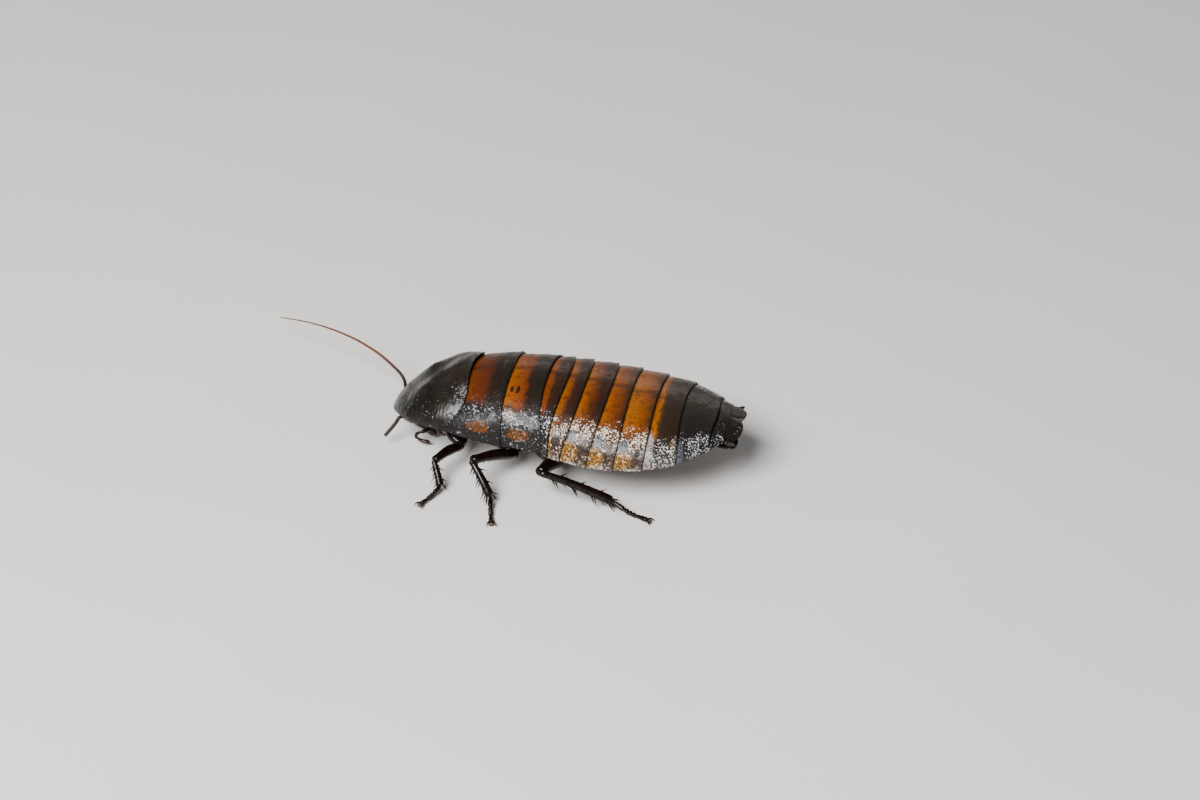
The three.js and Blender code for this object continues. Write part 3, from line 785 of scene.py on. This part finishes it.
HOOK = [(0, .17, .17), (.25, .20, .19), (.6, .17, .15), (1.0, .11, .10), (1.35, .03, .03)]
FLOOR_GAP = 0.04


def bent(start, end, lift):
    middle = (Vector(start) + Vector(end)) / 2 + Vector((0, 0, lift))
    return [start, tuple(middle), end]


def around(turn):
    """The way out of a straight limb piece, turned about it."""
    return Vector((0, math.cos(turn), math.sin(turn)))


def thorn(master, station, out, depth, lean, length, radius):
    """A copy of the spine on a straight limb piece, rooted depth from its middle and leaning to its end."""
    piece = master.copy()
    piece.data = master.data.copy()
    bpy.context.collection.objects.link(piece)
    heading = (out + Vector((lean, 0, 0))).normalized()
    turn = Vector((1, 0, 0)).rotation_difference(heading).to_matrix().to_4x4()
    root = Matrix.Translation(Vector((station, 0, 0)) + out * depth)
    piece.matrix_world = root @ turn @ Matrix.Diagonal((length, radius, radius, 1))
    return applied(piece)


def thigh(name, path, size, master):
    """The femur, with a short row of spines under its outer half."""
    length = reach(path)
    parts = [smoothed(limb(name, FEMUR, length, sides=16, size=size), 1)]
    for k in range(4):
        station = (0.5 + 0.12 * k) * length
        for side in (-1, 1):
            out = Vector((0, 0.45 * side, -1)).normalized()
            parts.append(thorn(master, station, out, 0.72 * size, 0.7, 0.62 * size, 0.11 * size))
    return along(joined(name, parts), path)


def shin(name, path, size, spines, master, draw):
    """The tibia, straight, with its rows of spines and its bristles, then bent along its path."""
    length = reach(path)
    parts = [smoothed(limb(name, TIBIA, length, size=size), 1)]
    rows = spines + MORE_SPINES
    for k in range(rows):
        share = 0.14 + 0.80 * k / (rows - 1)
        out = around(math.radians(SPINE_TURNS[k % len(SPINE_TURNS)] + draw.uniform(-8, 8)))
        long = size * (1.30 + 0.55 * share + 0.12 * math.sin(5 * k)) * (1.0 if k % 3 else 0.8)
        parts.append(thorn(master, share * length, out, 0.58 * size, 0.85, long, 0.15 * size))
    for k in range(SPURS):
        out = around(math.radians(-20 - 55 * k))
        parts.append(thorn(master, 0.97 * length, out, 0.6 * size, 1.5, 1.6 * size, 0.15 * size))
    for _ in range(SHIN_BRISTLES):
        out, share = around(draw.uniform(0, 2 * math.pi)), draw.uniform(0.1, 0.97)
        long = draw.uniform(0.35, 0.7)
        parts.append(thorn(master, share * length, out, 0.62 * size, 1.3, long, 0.045))
    piece = along(joined(name, parts), path)
    # The tips of the spurs that would reach into the floor bend along it
    edit(piece)
    mesh = bmesh.from_edit_mesh(piece.data)
    for vertex in mesh.verts:
        vertex.select = vertex.co.z < FLOOR_GAP
    mesh.select_flush_mode()
    bmesh.update_edit_mesh(piece.data)
    bpy.ops.transform.resize(value=(1, 1, 0), center_override=(0, 0, FLOOR_GAP))
    done()
    return piece


def foot(name, ankle, toe, size, master, draw):
    """Five joints, each widening to its end, with bristles."""
    heel = Vector(ankle).lerp(Vector(toe), 0.45)
    path = [ankle, (heel.x, heel.y, ARCH), toe]
    length = reach(path)
    radii = [(0, .30, .30)]
    for begin, stop in zip((0, *TARSOMERES), TARSOMERES):
        waist = begin + 0.25 * (stop - begin) + 0.01
        radii += [(begin + 0.012, .22, .22), (waist, .33, .31), (stop - 0.028, .46, .40),
                  (stop - 0.010, .40, .34)]
    radii.append((1, .26, .24))
    parts = [limb(name, radii, length, rings=72, size=size)]
    for _ in range(FOOT_BRISTLES):
        out = around(draw.uniform(math.radians(200), math.radians(340)))
        share, long = draw.uniform(0.05, 0.97), draw.uniform(0.25, 0.42)
        parts.append(thorn(master, share * length, out, 0.3 * size, 2.0, long, 0.035))
    return along(joined(name, parts), path)


def foot_heading(ankle, toe):
    """The way the foot points, level with the floor."""
    return Vector((toe[0] - ankle[0], toe[1] - ankle[1], 0)).normalized()


def claws(name, ankle, toe):
    """Two hooked claws at the tip of the foot."""
    heading = foot_heading(ankle, toe)
    across = Vector((-heading.y, heading.x, 0))
    parts = []
    for side in (-1, 1):
        root = Vector(toe) + across * 0.2 * side
        tip = root + heading * 0.95 + across * 0.62 * side
        middle = root.lerp(tip, 0.55) + across * 0.10 * side
        path = [(root.x, root.y, 0.56), (middle.x, middle.y, 0.66), (tip.x, tip.y, 0.10)]
        parts.append(along(turned("hook", HOOK, 10), path))
    return joined(name, parts)


def pads(name, ankle, toe, size):
    """The pale soles: one under the ends of the second, third and fourth joints and one between the claws,
    flat on the floor.
    """
    parts = []
    for share in TARSOMERES[1:4]:
        spot = Vector(ankle).lerp(Vector(toe), share - 0.02)
        height = 0.42 if share < 0.6 else 0.34
        parts.append(ball("pad", 16, 10, (0.34 * size, 0.27 * size, height), (spot.x, spot.y, height)))
    tip = Vector(toe) + foot_heading(ankle, toe) * 0.32
    parts.append(ball("pad", 18, 12, (0.46 * size, 0.46 * size, 0.30), (tip.x, tip.y, 0.30)))
    return joined(name, parts)


# Tail

TAIL_PLATES = {  # node, front edge, length, half width, height, dome
    "supra_anal_plate": ("anal_plate", 59.2, 2.7, 5.0, 11.7, 1.2),
    "subgenital_plate": ("genital_plate", 59.0, 2.3, 4.8, 9.55, -0.9),
}
TAIL_TUCK, TAIL_SLOPE, TAIL_THICKNESS = 0.5, 0.12, 0.30
CERCUS_PATH = [(58.4, 4.1, 10.9), (59.9, 5.2, 11.0), (61.1, 6.1, 11.3)]
CERCUS = [(0, .55, .45), (.12, .72, .56), (.24, .66, .52), (.30, .70, .54), (.42, .60, .48), (.48, .63, .50),
          (.60, .50, .42), (.66, .52, .44), (.80, .34, .30), (.85, .34, .30), (1, .06, .06)]


def tail_plate(name, start, length, half_width, height, dome):
    """A plate of two round lobes at the tail: a sheet with a crease down the middle, given its thickness."""
    upper = math.copysign(1, dome)

    def place(u, v, _):
        share = between((u + 1) / 2, -TAIL_TUCK, 1.0)
        out = max(0, share)
        y = half_width * v * upper
        lobe = math.sqrt(max(0.0, 1 - ((abs(y) - 0.45 * half_width) / (0.58 * half_width)) ** 2))
        x = start + length * (share if share < 0 else share * (0.42 + 0.58 * lobe))
        z = height - TAIL_SLOPE * (x - start) + dome * (1 - (y / (half_width + 0.5)) ** 2)
        return x, y, z - upper * (0.20 * hump(y, 0.30) * out + 0.30 * out ** 4)

    return walled(smoothed(cage(sheet(name, 14, 24), place), 2), TAIL_THICKNESS, 0.08)


def cercus(side, hand):
    path = mirrored(CERCUS_PATH, side)
    return along(limb(f"tail_feeler_{hand}", CERCUS, reach(path), rings=60), path)


# Finishes

ORANGE, GOLD, AMBER = (0.175, 0.038, 0.0004), (0.24, 0.072, 0.0006), (0.125, 0.027, 0.0006)
RUST, MAROON, UMBER = (0.062, 0.012, 0.002), (0.026, 0.0075, 0.003), (0.015, 0.0068, 0.003)
BLACK, CHARCOAL = (0.003, 0.0026, 0.002), (0.009, 0.0072, 0.005)
# Silver and pearl are the tones of the painted glints on the granules
SILVER_GLINT, PEARL_GLINT, LILAC = (0.62, 0.63, 0.66), (0.82, 0.66, 0.54), (0.34, 0.30, 0.29)
OCHRE, SLATE = (0.24, 0.105, 0.003), (0.12, 0.13, 0.15)
# The dark of the dimples is painted shade; the crease's pink is its own colour
DIMPLE_SHADE, CREASE_PINK = (0.010, 0.005, 0.003), (0.30, 0.17, 0.14)


class Cuticle(Finish):
    """The horn of the body, with places on it from the front tip, the midline and the floor."""

    def __init__(self, name, specular=0.28, coat=0.0, coat_rough=0.03):
        super().__init__(name, IOR=1.55, Specular_IOR_Level=specular, Coat_Weight=coat,
                         Coat_Roughness=coat_rough)
        x, y, self.z = self.axes(self.place)
        self.x = x - FRONT / MM
        self.y = y - MIDLINE / MM

    def plate(self):
        """The share along its plate, 0 at the front margin and 1 at the rear, and the share down its side."""
        lengthwise, across, _ = self.axes(self.node("TexCoord", out="UV"))
        return lengthwise * (1 + PLATE_TUCK) - PLATE_TUCK, abs(across * 2 - 1)

    def granule_glints(self, scale, density):
        """Painted glints of light on the granules, which run together into a net round dark dimples, few at
        density 0, most at 1.
        """
        net = self.cells(scale) + (self.noise(scale * 1.7, 2) - 0.5) * 0.5
        return self.step(net + density * 0.43, 0.87, 0.97)

    def finished(self, colour, rough, height, strength, depth):
        """The material, given its colour, its roughness and a relief of height, depth millimetres deep."""
        relief = self.node("Bump", None, {"Height": height, "Strength": strength, "Distance": depth * MM})
        return self.feed(Base_Color=colour, Roughness=rough, Normal=relief)


def plate_finish(name, bands, flank, granules, start, spots=()):
    """A plate's horn: colour bands from front to rear, a granular flank below start with painted glints on
    its granules, spots, dark pits and flank dimples painted as the shade in them, and painted shadow where it
    is tucked under the plate before it.
    """
    horn = Cuticle(name, specular=0.17, coat=0.12, coat_rough=0.12)
    share, side = horn.plate()
    wobble = horn.noise(0.5, 3) - 0.5
    fine = horn.noise(3.0, 4, 0.6)
    grit = fine - 0.5
    back = horn.ramp(share + wobble * 0.34, *bands)
    # Cloudy darker smudges, the dark line down the middle and the pits, sunk in the relief and painted black
    # as the shade in them
    smudge = horn.step(horn.noise(0.8, 5, 0.7), 0.52, 0.64) * 0.6
    back = horn.mix(smudge, back, UMBER)
    middle = (1 - horn.step(abs(horn.y + wobble * 0.5), 0.15, 0.9)) * 0.5
    back = horn.mix(middle, back, UMBER)
    pit = 1 - horn.step(horn.cells(1.9) + grit * 0.25, 0.17, 0.27)
    back = horn.mix(pit * 0.6 * horn.step(side, 0.1, 0.3), back, BLACK)
    # The flank, where the granules and their painted glints cover it, and where its spots leave them bare
    low = horn.step(side + wobble * 0.20 + grit * 0.10, start - 0.05, start + 0.10)
    colour = horn.mix(low, back, horn.ramp(side + wobble * 0.3, *flank))
    shine, shade, cover, fewer, scale = granules
    lower = horn.step(side + wobble * 0.2, start + 0.09, start + 0.27) * fewer
    density = horn.step(side + wobble * 0.3, start - 0.10, start + 0.14) * cover - lower
    for spot_share, spot_side, long, wide, tone, bare in spots:
        out = ((share - spot_share) / long) ** 2 + ((side - spot_side) / wide) ** 2
        inside = 1 - horn.step(out + (horn.noise(1.3, 4, 0.7) - 0.5) * 2.0, 0.5, 1.3)
        density = density - inside * bare
        colour = horn.mix(inside * 0.92, colour, tone)
    patchy = (horn.noise(0.6, 3) - 0.5) * 1.5
    tops = horn.granule_glints(scale, density + patchy)
    granule_glints = tops * horn.step(side + grit * 0.3, start - 0.12, start + 0.03)
    # Dimples between the granules, sunk in the relief and painted dark as the shade in them
    dimple = 1 - horn.step(horn.cells(scale) + (horn.noise(2.0, 3) - 0.5) * 0.9, 0.28, 0.54)
    colour = horn.mix(low * dimple * 0.85, colour, DIMPLE_SHADE)
    # The painted glints dim lower down the flank, where less light catches the granules
    glint = (horn.noise(1.9, 3, 0.6) * 1.3 + 0.05) * (1 - lower * 0.8)
    colour = horn.mix((granule_glints * glint * shine).atmost(1.0), colour, shade)
    # The part tucked under the plate before it, painted black as that plate's shadow, and the dark rear hem
    colour = horn.mix(horn.step(share, 0.02, -0.02) * 0.95, colour, BLACK)
    colour = horn.mix(horn.step(share, 0.93, 0.985) * 0.8, colour, BLACK)
    rough = 0.34 + fine * 0.18 - low * 0.06 - granule_glints * 0.08
    height = fine * 0.3 + granule_glints * 0.9 - pit * 0.6 - dimple * low * 0.5
    return horn.finished(colour, rough, height, 0.8, 0.12)


def shield_finish():
    """Near-black olive horn, pitted, lighter higher up as painted light, with silvery painted glints on its
    granules towards the rear corners.
    """
    horn = Cuticle("shield_horn", specular=0.24, coat=0.10, coat_rough=0.10)
    fine = horn.noise(2.6, 5, 0.6)
    broad = horn.noise(0.35, 3)
    # The horn lighter higher up: painted light over the top of the shield
    colour = horn.ramp(broad + (horn.z - 11) * 0.05,
                       (0.3, (0.003, 0.0026, 0.0018)), (0.8, (0.015, 0.011, 0.0065)))
    aside = abs(horn.y)
    rear = horn.step(horn.x + (aside - 6) * 0.25 + (broad - 0.5) * 2, 11.2, 14.6)
    low = horn.step(aside + (fine - 0.5) * 2, 4.0, 6.8)
    # Painted glints of light on the granules, thick low down by the rear corners, sparse over the sides
    granule_glints = horn.granule_glints(3.5, rear * 0.85 + (horn.noise(0.6, 3) - 0.5) * 0.9) * low
    granule_glints = granule_glints * horn.step(rear, 0.0, 0.5) * (horn.noise(1.6, 3, 0.6) - 0.15).atleast(0.0)
    sparse = horn.granule_glints(2.6, 0.0) * horn.step(aside, 3.5, 6) * 0.4
    colour = horn.mix((granule_glints + sparse).atmost(1.0) * 0.8, colour, SILVER_GLINT)
    pits = 1 - horn.step(horn.cells(2.1), 0.10, 0.20)
    slanted = horn.node("Mapping", None,
                        {"Vector": horn.place, "Rotation": (0, 0, 0.5), "Scale": (2.6, 0.5, 1)})
    wrinkle = horn.noise(0.9, 3, 0.5, slanted)
    height = fine * 0.35 - pits * 0.5 + granule_glints * 0.8 + sparse * 0.5 + wrinkle * 1.2
    return horn.finished(colour, 0.22 + fine * 0.2 - granule_glints * 0.05, height, 0.8, 0.12)


def horn_finish(name, light, dark, scale=0.8, rough=0.24, coat=0.3, grain=0.04):
    """Plain glossy horn, mottled between two tones."""
    horn = Cuticle(name, specular=0.12, coat=coat, coat_rough=0.07)
    colour = horn.ramp(horn.noise(scale, 4, 0.6), (0.35, dark), (0.68, light))
    fine = horn.noise(5.0, 4, 0.6)
    height = fine + horn.noise(1.4, 3) * 1.5
    return horn.finished(colour, rough + (fine - 0.4) * 0.25, height, 0.5, grain)


def tail_finish():
    """Dark granular horn with faint silvery painted glints on its granules and a thin pinkish crease down the
    middle.
    """
    horn = Cuticle("tail_horn", specular=0.15, coat=0.08, coat_rough=0.2)
    fine = horn.noise(3.0, 4, 0.6)
    colour = horn.ramp(horn.noise(0.7, 4), (0.3, (0.005, 0.0042, 0.003)), (0.7, (0.012, 0.009, 0.006)))
    # Faint painted glints of light on the granules
    granule_glints = horn.granule_glints(2.6, 0.1)
    colour = horn.mix(granule_glints * 0.3, colour, SILVER_GLINT)
    crease = (1 - horn.step(abs(horn.y + (fine - 0.5) * 0.3), 0.02, 0.12)) * horn.step(horn.x, 59.4, 60.6)
    colour = horn.mix(crease * 0.8, colour, CREASE_PINK)
    return horn.finished(colour, 0.32 + fine * 0.2, fine + granule_glints, 0.6, 0.10)


def feeler_finish():
    """Black at the root, reddish brown and mottled towards the tip."""
    horn = Cuticle("feeler_horn")
    fine = horn.noise(4.0, 4, 0.6)
    tip = 1 - horn.step(horn.x, -7.0, 0.5)
    colour = horn.mix(tip, (0.008, 0.004, 0.003), (0.12, 0.042, 0.015))
    colour = horn.mix(fine * 0.3 * tip, colour, (0.06, 0.025, 0.012))
    return horn.finished(colour, 0.36 + fine * 0.2, fine, 0.4, 0.04)


def eye_finish():
    """A dark eye of small facets."""
    horn = Cuticle("eye_facets", coat=0.8, coat_rough=0.05)
    facet = horn.cells(9.0, randomness=0.35)
    colour = horn.mix(horn.step(horn.noise(0.9), 0.4, 0.7), (0.010, 0.006, 0.005), (0.035, 0.012, 0.008))
    return horn.finished(colour, 0.14 + facet * 0.25, 1 - facet, 0.5, 0.05)


def belly_finish():
    """Belly plates: amber brown with darker hems."""
    horn = Cuticle("belly_horn", coat=0.3, coat_rough=0.1)
    share, side = horn.plate()
    cloud = horn.noise(0.7, 4, 0.6)
    colour = horn.ramp(share + (cloud - 0.5) * 0.3, (0.0, (0.085, 0.027, 0.008)),
                       (0.55, (0.050, 0.016, 0.006)), (0.9, (0.020, 0.008, 0.005)))
    colour = horn.mix(horn.step(side + cloud * 0.3, 0.85, 1.1), colour, (0.03, 0.012, 0.008))
    fine = horn.noise(3.0, 4, 0.6)
    return horn.finished(colour, 0.26 + fine * 0.2, fine, 0.5, 0.06)


def skin_finish():
    """Soft skin in the seams: pinkish brown, finely pleated."""
    skin = Cuticle("seam_skin")
    pleat = skin.noise(1.2, 4, 0.65)
    colour = skin.ramp(pleat, (0.3, (0.045, 0.020, 0.013)), (0.7, (0.13, 0.070, 0.052)))
    return skin.finished(colour, 0.42 + pleat * 0.2, pleat, 0.7, 0.12)


def pad_finish():
    pad = Cuticle("foot_pad")
    fine = pad.noise(5.0, 3)
    colour = pad.mix(fine, (0.05, 0.028, 0.016), (0.11, 0.07, 0.045))
    return pad.finished(colour, 0.45 + fine * 0.2, fine, 0.5, 0.05)


# Looks of each plate: its colour bands from the front margin (0) to the rear (1), its flank from the
# midline (0) to the rim (1), where the flank starts, its granules and their painted glints (strength,
# tone, cover, thinning and dimming towards the rim, scale) and its spots (share along, share down the
# side, length, width, tone, and how bare of granules)

DARK_FLANK = ((0.45, (0.005, 0.0042, 0.004)), (0.8, (0.008, 0.0065, 0.006)), (1.0, (0.004, 0.004, 0.004)))
# The pale last stop at the rim is partly the rim's own pale colour and partly a painted highlight along its
# edge
WARM_FLANK = ((0.45, (0.11, 0.030, 0.001)), (0.56, (0.07, 0.026, 0.008)), (0.80, (0.050, 0.022, 0.008)),
              (0.96, (0.08, 0.055, 0.040)), (1.0, (0.30, 0.25, 0.22)))
RUSTY = (0.115, 0.034, 0.0006)
SLATE_SPOT = (0.20, 0.67, 0.17, 0.085, SLATE, 1.0)
GOLD_SPOT = (0.20, 0.85, 0.36, 0.14, OCHRE, 0.0)
SMOKE_SPOT = (0.72, 0.80, 0.24, 0.09, (0.035, 0.020, 0.010), 0.25)
MIDDLE_SPOTS = (SMOKE_SPOT, SLATE_SPOT, GOLD_SPOT)
LOOKS = {
    "mesothorax": dict(
        bands=((0.0, AMBER), (0.22, (0.085, 0.017, 0.001)), (0.46, RUST), (0.62, UMBER), (1.0, CHARCOAL)),
        flank=DARK_FLANK, start=0.46, granules=(0.62, SILVER_GLINT, 0.62, 0.46, 3.5),
        spots=((0.50, 0.79, 0.27, 0.075, RUSTY, -0.1),)),
    "metathorax": dict(
        bands=((0.0, GOLD), (0.24, ORANGE), (0.46, (0.12, 0.024, 0.001)), (0.60, UMBER), (1.0, CHARCOAL)),
        flank=DARK_FLANK, start=0.50, granules=(0.76, SILVER_GLINT, 0.66, 0.36, 3.3),
        spots=((0.16, 0.60, 0.20, 0.07, (0.24, 0.15, 0.11), -0.3), (0.42, 0.81, 0.30, 0.075, RUSTY, -0.1),
               (0.14, 0.30, 0.05, 0.035, BLACK, 0.0), (0.32, 0.30, 0.05, 0.05, BLACK, 0.0))),
    "abdomen_1": dict(
        bands=((0.0, ORANGE), (0.30, (0.12, 0.026, 0.001)), (0.46, MAROON), (1.0, UMBER)),
        flank=DARK_FLANK, start=0.46, granules=(0.9, SILVER_GLINT, 0.8, 0.3, 3.0)),
    "abdomen_2": dict(
        bands=((0.0, GOLD), (0.30, (0.13, 0.030, 0.001)), (0.52, MAROON), (1.0, UMBER)),
        flank=WARM_FLANK, start=0.50, granules=(1.1, PEARL_GLINT, 1.0, 0.45, 3.1),
        spots=((0.10, 0.78, 0.10, 0.25, OCHRE, 0.3), (0.50, 0.76, 0.26, 0.07, (0.022, 0.014, 0.018), 0.7))),
    "abdomen_3": dict(
        bands=((0.0, GOLD), (0.22, ORANGE), (0.46, (0.08, 0.018, 0.001)), (0.70, MAROON), (1.0, UMBER)),
        flank=WARM_FLANK, start=0.47, granules=(1.15, PEARL_GLINT, 1.08, 0.58, 3.1), spots=MIDDLE_SPOTS),
    "abdomen_4": dict(
        bands=((0.0, GOLD), (0.24, ORANGE), (0.60, (0.11, 0.025, 0.001)), (0.86, (0.05, 0.013, 0.002)),
               (1.0, UMBER)),
        flank=WARM_FLANK, start=0.47, granules=(1.2, PEARL_GLINT, 1.16, 0.64, 3.1), spots=MIDDLE_SPOTS),
    "abdomen_5": dict(
        bands=((0.0, GOLD), (0.35, (0.23, 0.060, 0.001)), (0.72, (0.13, 0.032, 0.001)),
               (1.0, (0.04, 0.012, 0.003))),
        flank=WARM_FLANK, start=0.48, granules=(1.2, PEARL_GLINT, 1.16, 0.64, 3.1), spots=MIDDLE_SPOTS),
    "abdomen_6": dict(
        bands=((0.0, ORANGE), (0.16, GOLD), (0.27, (0.065, 0.022, 0.003)), (0.38, (0.020, 0.012, 0.006)),
               (1.0, UMBER)),
        # The pale last stop at the rim: partly its own colour, partly a painted highlight along the edge
        flank=((0.45, (0.02, 0.014, 0.01)), (0.75, (0.020, 0.017, 0.016)), (1.0, (0.16, 0.14, 0.13))),
        start=0.52, granules=(0.95, (0.66, 0.62, 0.58), 0.80, 0.15, 3.2),
        spots=((0.08, 0.80, 0.17, 0.34, LILAC, 1.5), (0.85, 0.64, 0.12, 0.12, (0.13, 0.075, 0.040), -0.1))),
    "abdomen_7": dict(
        bands=((0.0, (0.014, 0.010, 0.006)), (0.3, CHARCOAL), (1.0, (0.010, 0.008, 0.006))),
        # The greyer last stop at the rim: partly its own colour, partly a painted highlight along the edge
        flank=((0.3, CHARCOAL), (0.8, (0.010, 0.009, 0.009)), (1.0, (0.03, 0.028, 0.028))),
        start=0.45, granules=(0.8, SILVER_GLINT, 0.84, 0.15, 3.3),
        spots=((0.06, 0.80, 0.14, 0.30, (0.075, 0.078, 0.088), 1.2),)),
    "abdomen_8": dict(
        bands=((0.0, (0.010, 0.008, 0.006)), (1.0, CHARCOAL)),
        flank=((0.3, CHARCOAL), (1.0, BLACK)), start=0.52, granules=(0.7, SILVER_GLINT, 0.6, 0.1, 2.8)),
}


# The animal, piece by piece

MOUTH = {  # half sizes, centre on the head, form, node
    "clypeus": ((1.25, 1.45, 0.75), (2.45, 0, -0.85), squared, "head"),
    "upper_lip": ((0.85, 1.05, 0.45), (3.65, 0, -0.72), notched, "labrum"),
    "lower_lip_plate": ((1.35, 1.25, 0.50), (3.3, 0, 1.05), squared, "lower_lip"),
}
JAW_HALF, JAW_X, JAW_Y = (1.2, 0.72, 0.72), 3.3, 1.32
EYE_HALF = (1.5, 0.8, 1.1)


def trunk():
    settle(pronotum(), shield_finish(), "shield", "pronotum")
    belly_horn = belly_finish()
    rings = list(MARGINS)
    for previous, node in zip(rings, rings[1:]):
        if node in ("mesothorax", "metathorax"):
            slot, back, under = "thorax", node.replace("thorax", "notum"), node.replace("thorax", "sternum")
        else:
            slot = "tail" if node == rings[-1] else "abdomen"
            back, under = node.replace("abdomen", "tergite"), node.replace("abdomen", "sternite")
        settle(plate(back, node, previous), plate_finish(f"{back}_horn", **LOOKS[node]), slot, node)
        settle(belly_plate(under, node, previous), belly_horn, slot, node)
    settle(membrane(), skin_finish(), "abdomen")
    throat_horn = horn_finish("throat_horn", (0.050, 0.019, 0.010), (0.014, 0.006, 0.004),
                              scale=0.5, rough=0.38, coat=0.0, grain=0.1)
    settle(throat(), throat_horn, "head", "prothorax")


def head_and_tail():
    head_horn = horn_finish("head_horn", (0.024, 0.011, 0.006), (0.007, 0.004, 0.003))
    lip_horn = horn_finish("lip_horn", (0.13, 0.050, 0.016), (0.045, 0.017, 0.007), scale=1.6)
    jaw_horn = horn_finish("jaw_horn", (0.10, 0.028, 0.012), (0.010, 0.006, 0.005), scale=1.2)
    palp_horn = horn_finish("palp_horn", (0.026, 0.009, 0.005), (0.007, 0.003, 0.002), scale=1.6, coat=0.2)
    eye_facets, feeler_horn, tail_horn = eye_finish(), feeler_finish(), tail_finish()
    settle(capsule(), head_horn, "head", "head")
    for name, (half, centre, form, node) in MOUTH.items():
        settle(mouth_piece(name, half, centre, form), lip_horn, "head", node)
    for side, hand in ((-1, "left"), (1, "right")):
        jaw = mouth_piece(f"biting_jaw_{hand}", JAW_HALF, (JAW_X, side * JAW_Y, 0), toothed(side))
        settle(jaw, jaw_horn, "head", f"jaw_{hand}")
        ahead, aside, back = (share * half for share, half in zip(EYE_CENTRE, HEAD_HALF))
        eye = mouth_piece(f"compound_eye_{hand}", EYE_HALF, (ahead, side * aside, back), kidney)
        settle(eye, eye_facets, "eye", f"eye_{hand}")
        settle(feeler(side, hand), feeler_horn, "feeler", f"antenna_{hand}", crease=LIMB_CREASE)
        settle(palp(side, hand), palp_horn, "feeler", f"palp_{hand}", crease=LIMB_CREASE)
        settle(lip_palp(side, hand), palp_horn, "feeler", crease=LIMB_CREASE)
        settle(cercus(side, hand), tail_horn, "tail", f"cercus_{hand}", crease=LIMB_CREASE)
    for name, (node, *sizes) in TAIL_PLATES.items():
        settle(tail_plate(name, *sizes), tail_horn, "tail", node)


def legs():
    leg_horn = horn_finish("leg_horn", (0.008, 0.0026, 0.0012), (0.002, 0.001, 0.0008), coat=0.28)
    foot_pad = pad_finish()
    master = turned("spine_master", SPINE, 8)
    for name, (hip, coxa_end, knee, ankle, toe, size, spines) in LEGS.items():
        draw = random.Random(name)
        foot_size = 0.8 + 0.25 * size
        coxa_path = [hip, coxa_end]
        thigh_path, shin_path = bent(coxa_end, knee, THIGH_LIFT), bent(knee, ankle, SHIN_LIFT)
        coxa = along(limb(f"{name}_coxa", COXA, reach(coxa_path), sides=18, size=size), coxa_path)
        settle(coxa, leg_horn, "leg", f"coxa_{name}", crease=LIMB_CREASE)
        femur = thigh(f"{name}_femur", thigh_path, size, master)
        settle(femur, leg_horn, "leg", f"femur_{name}", crease=LIMB_CREASE)
        tibia = shin(f"{name}_tibia", shin_path, size, spines, master, draw)
        settle(tibia, leg_horn, "leg", f"tibia_{name}")
        tarsus = foot(f"{name}_tarsus", ankle, toe, foot_size, master, draw)
        settle(tarsus, leg_horn, "leg", f"tarsus_{name}", crease=LIMB_CREASE)
        settle(claws(f"{name}_claws", ankle, toe), leg_horn, "leg", f"tarsus_{name}")
        settle(pads(f"{name}_pads", ankle, toe, foot_size), foot_pad, "leg", f"tarsus_{name}")
    bpy.data.objects.remove(master)


camera()
studio()
trunk()
head_and_tail()
legs()
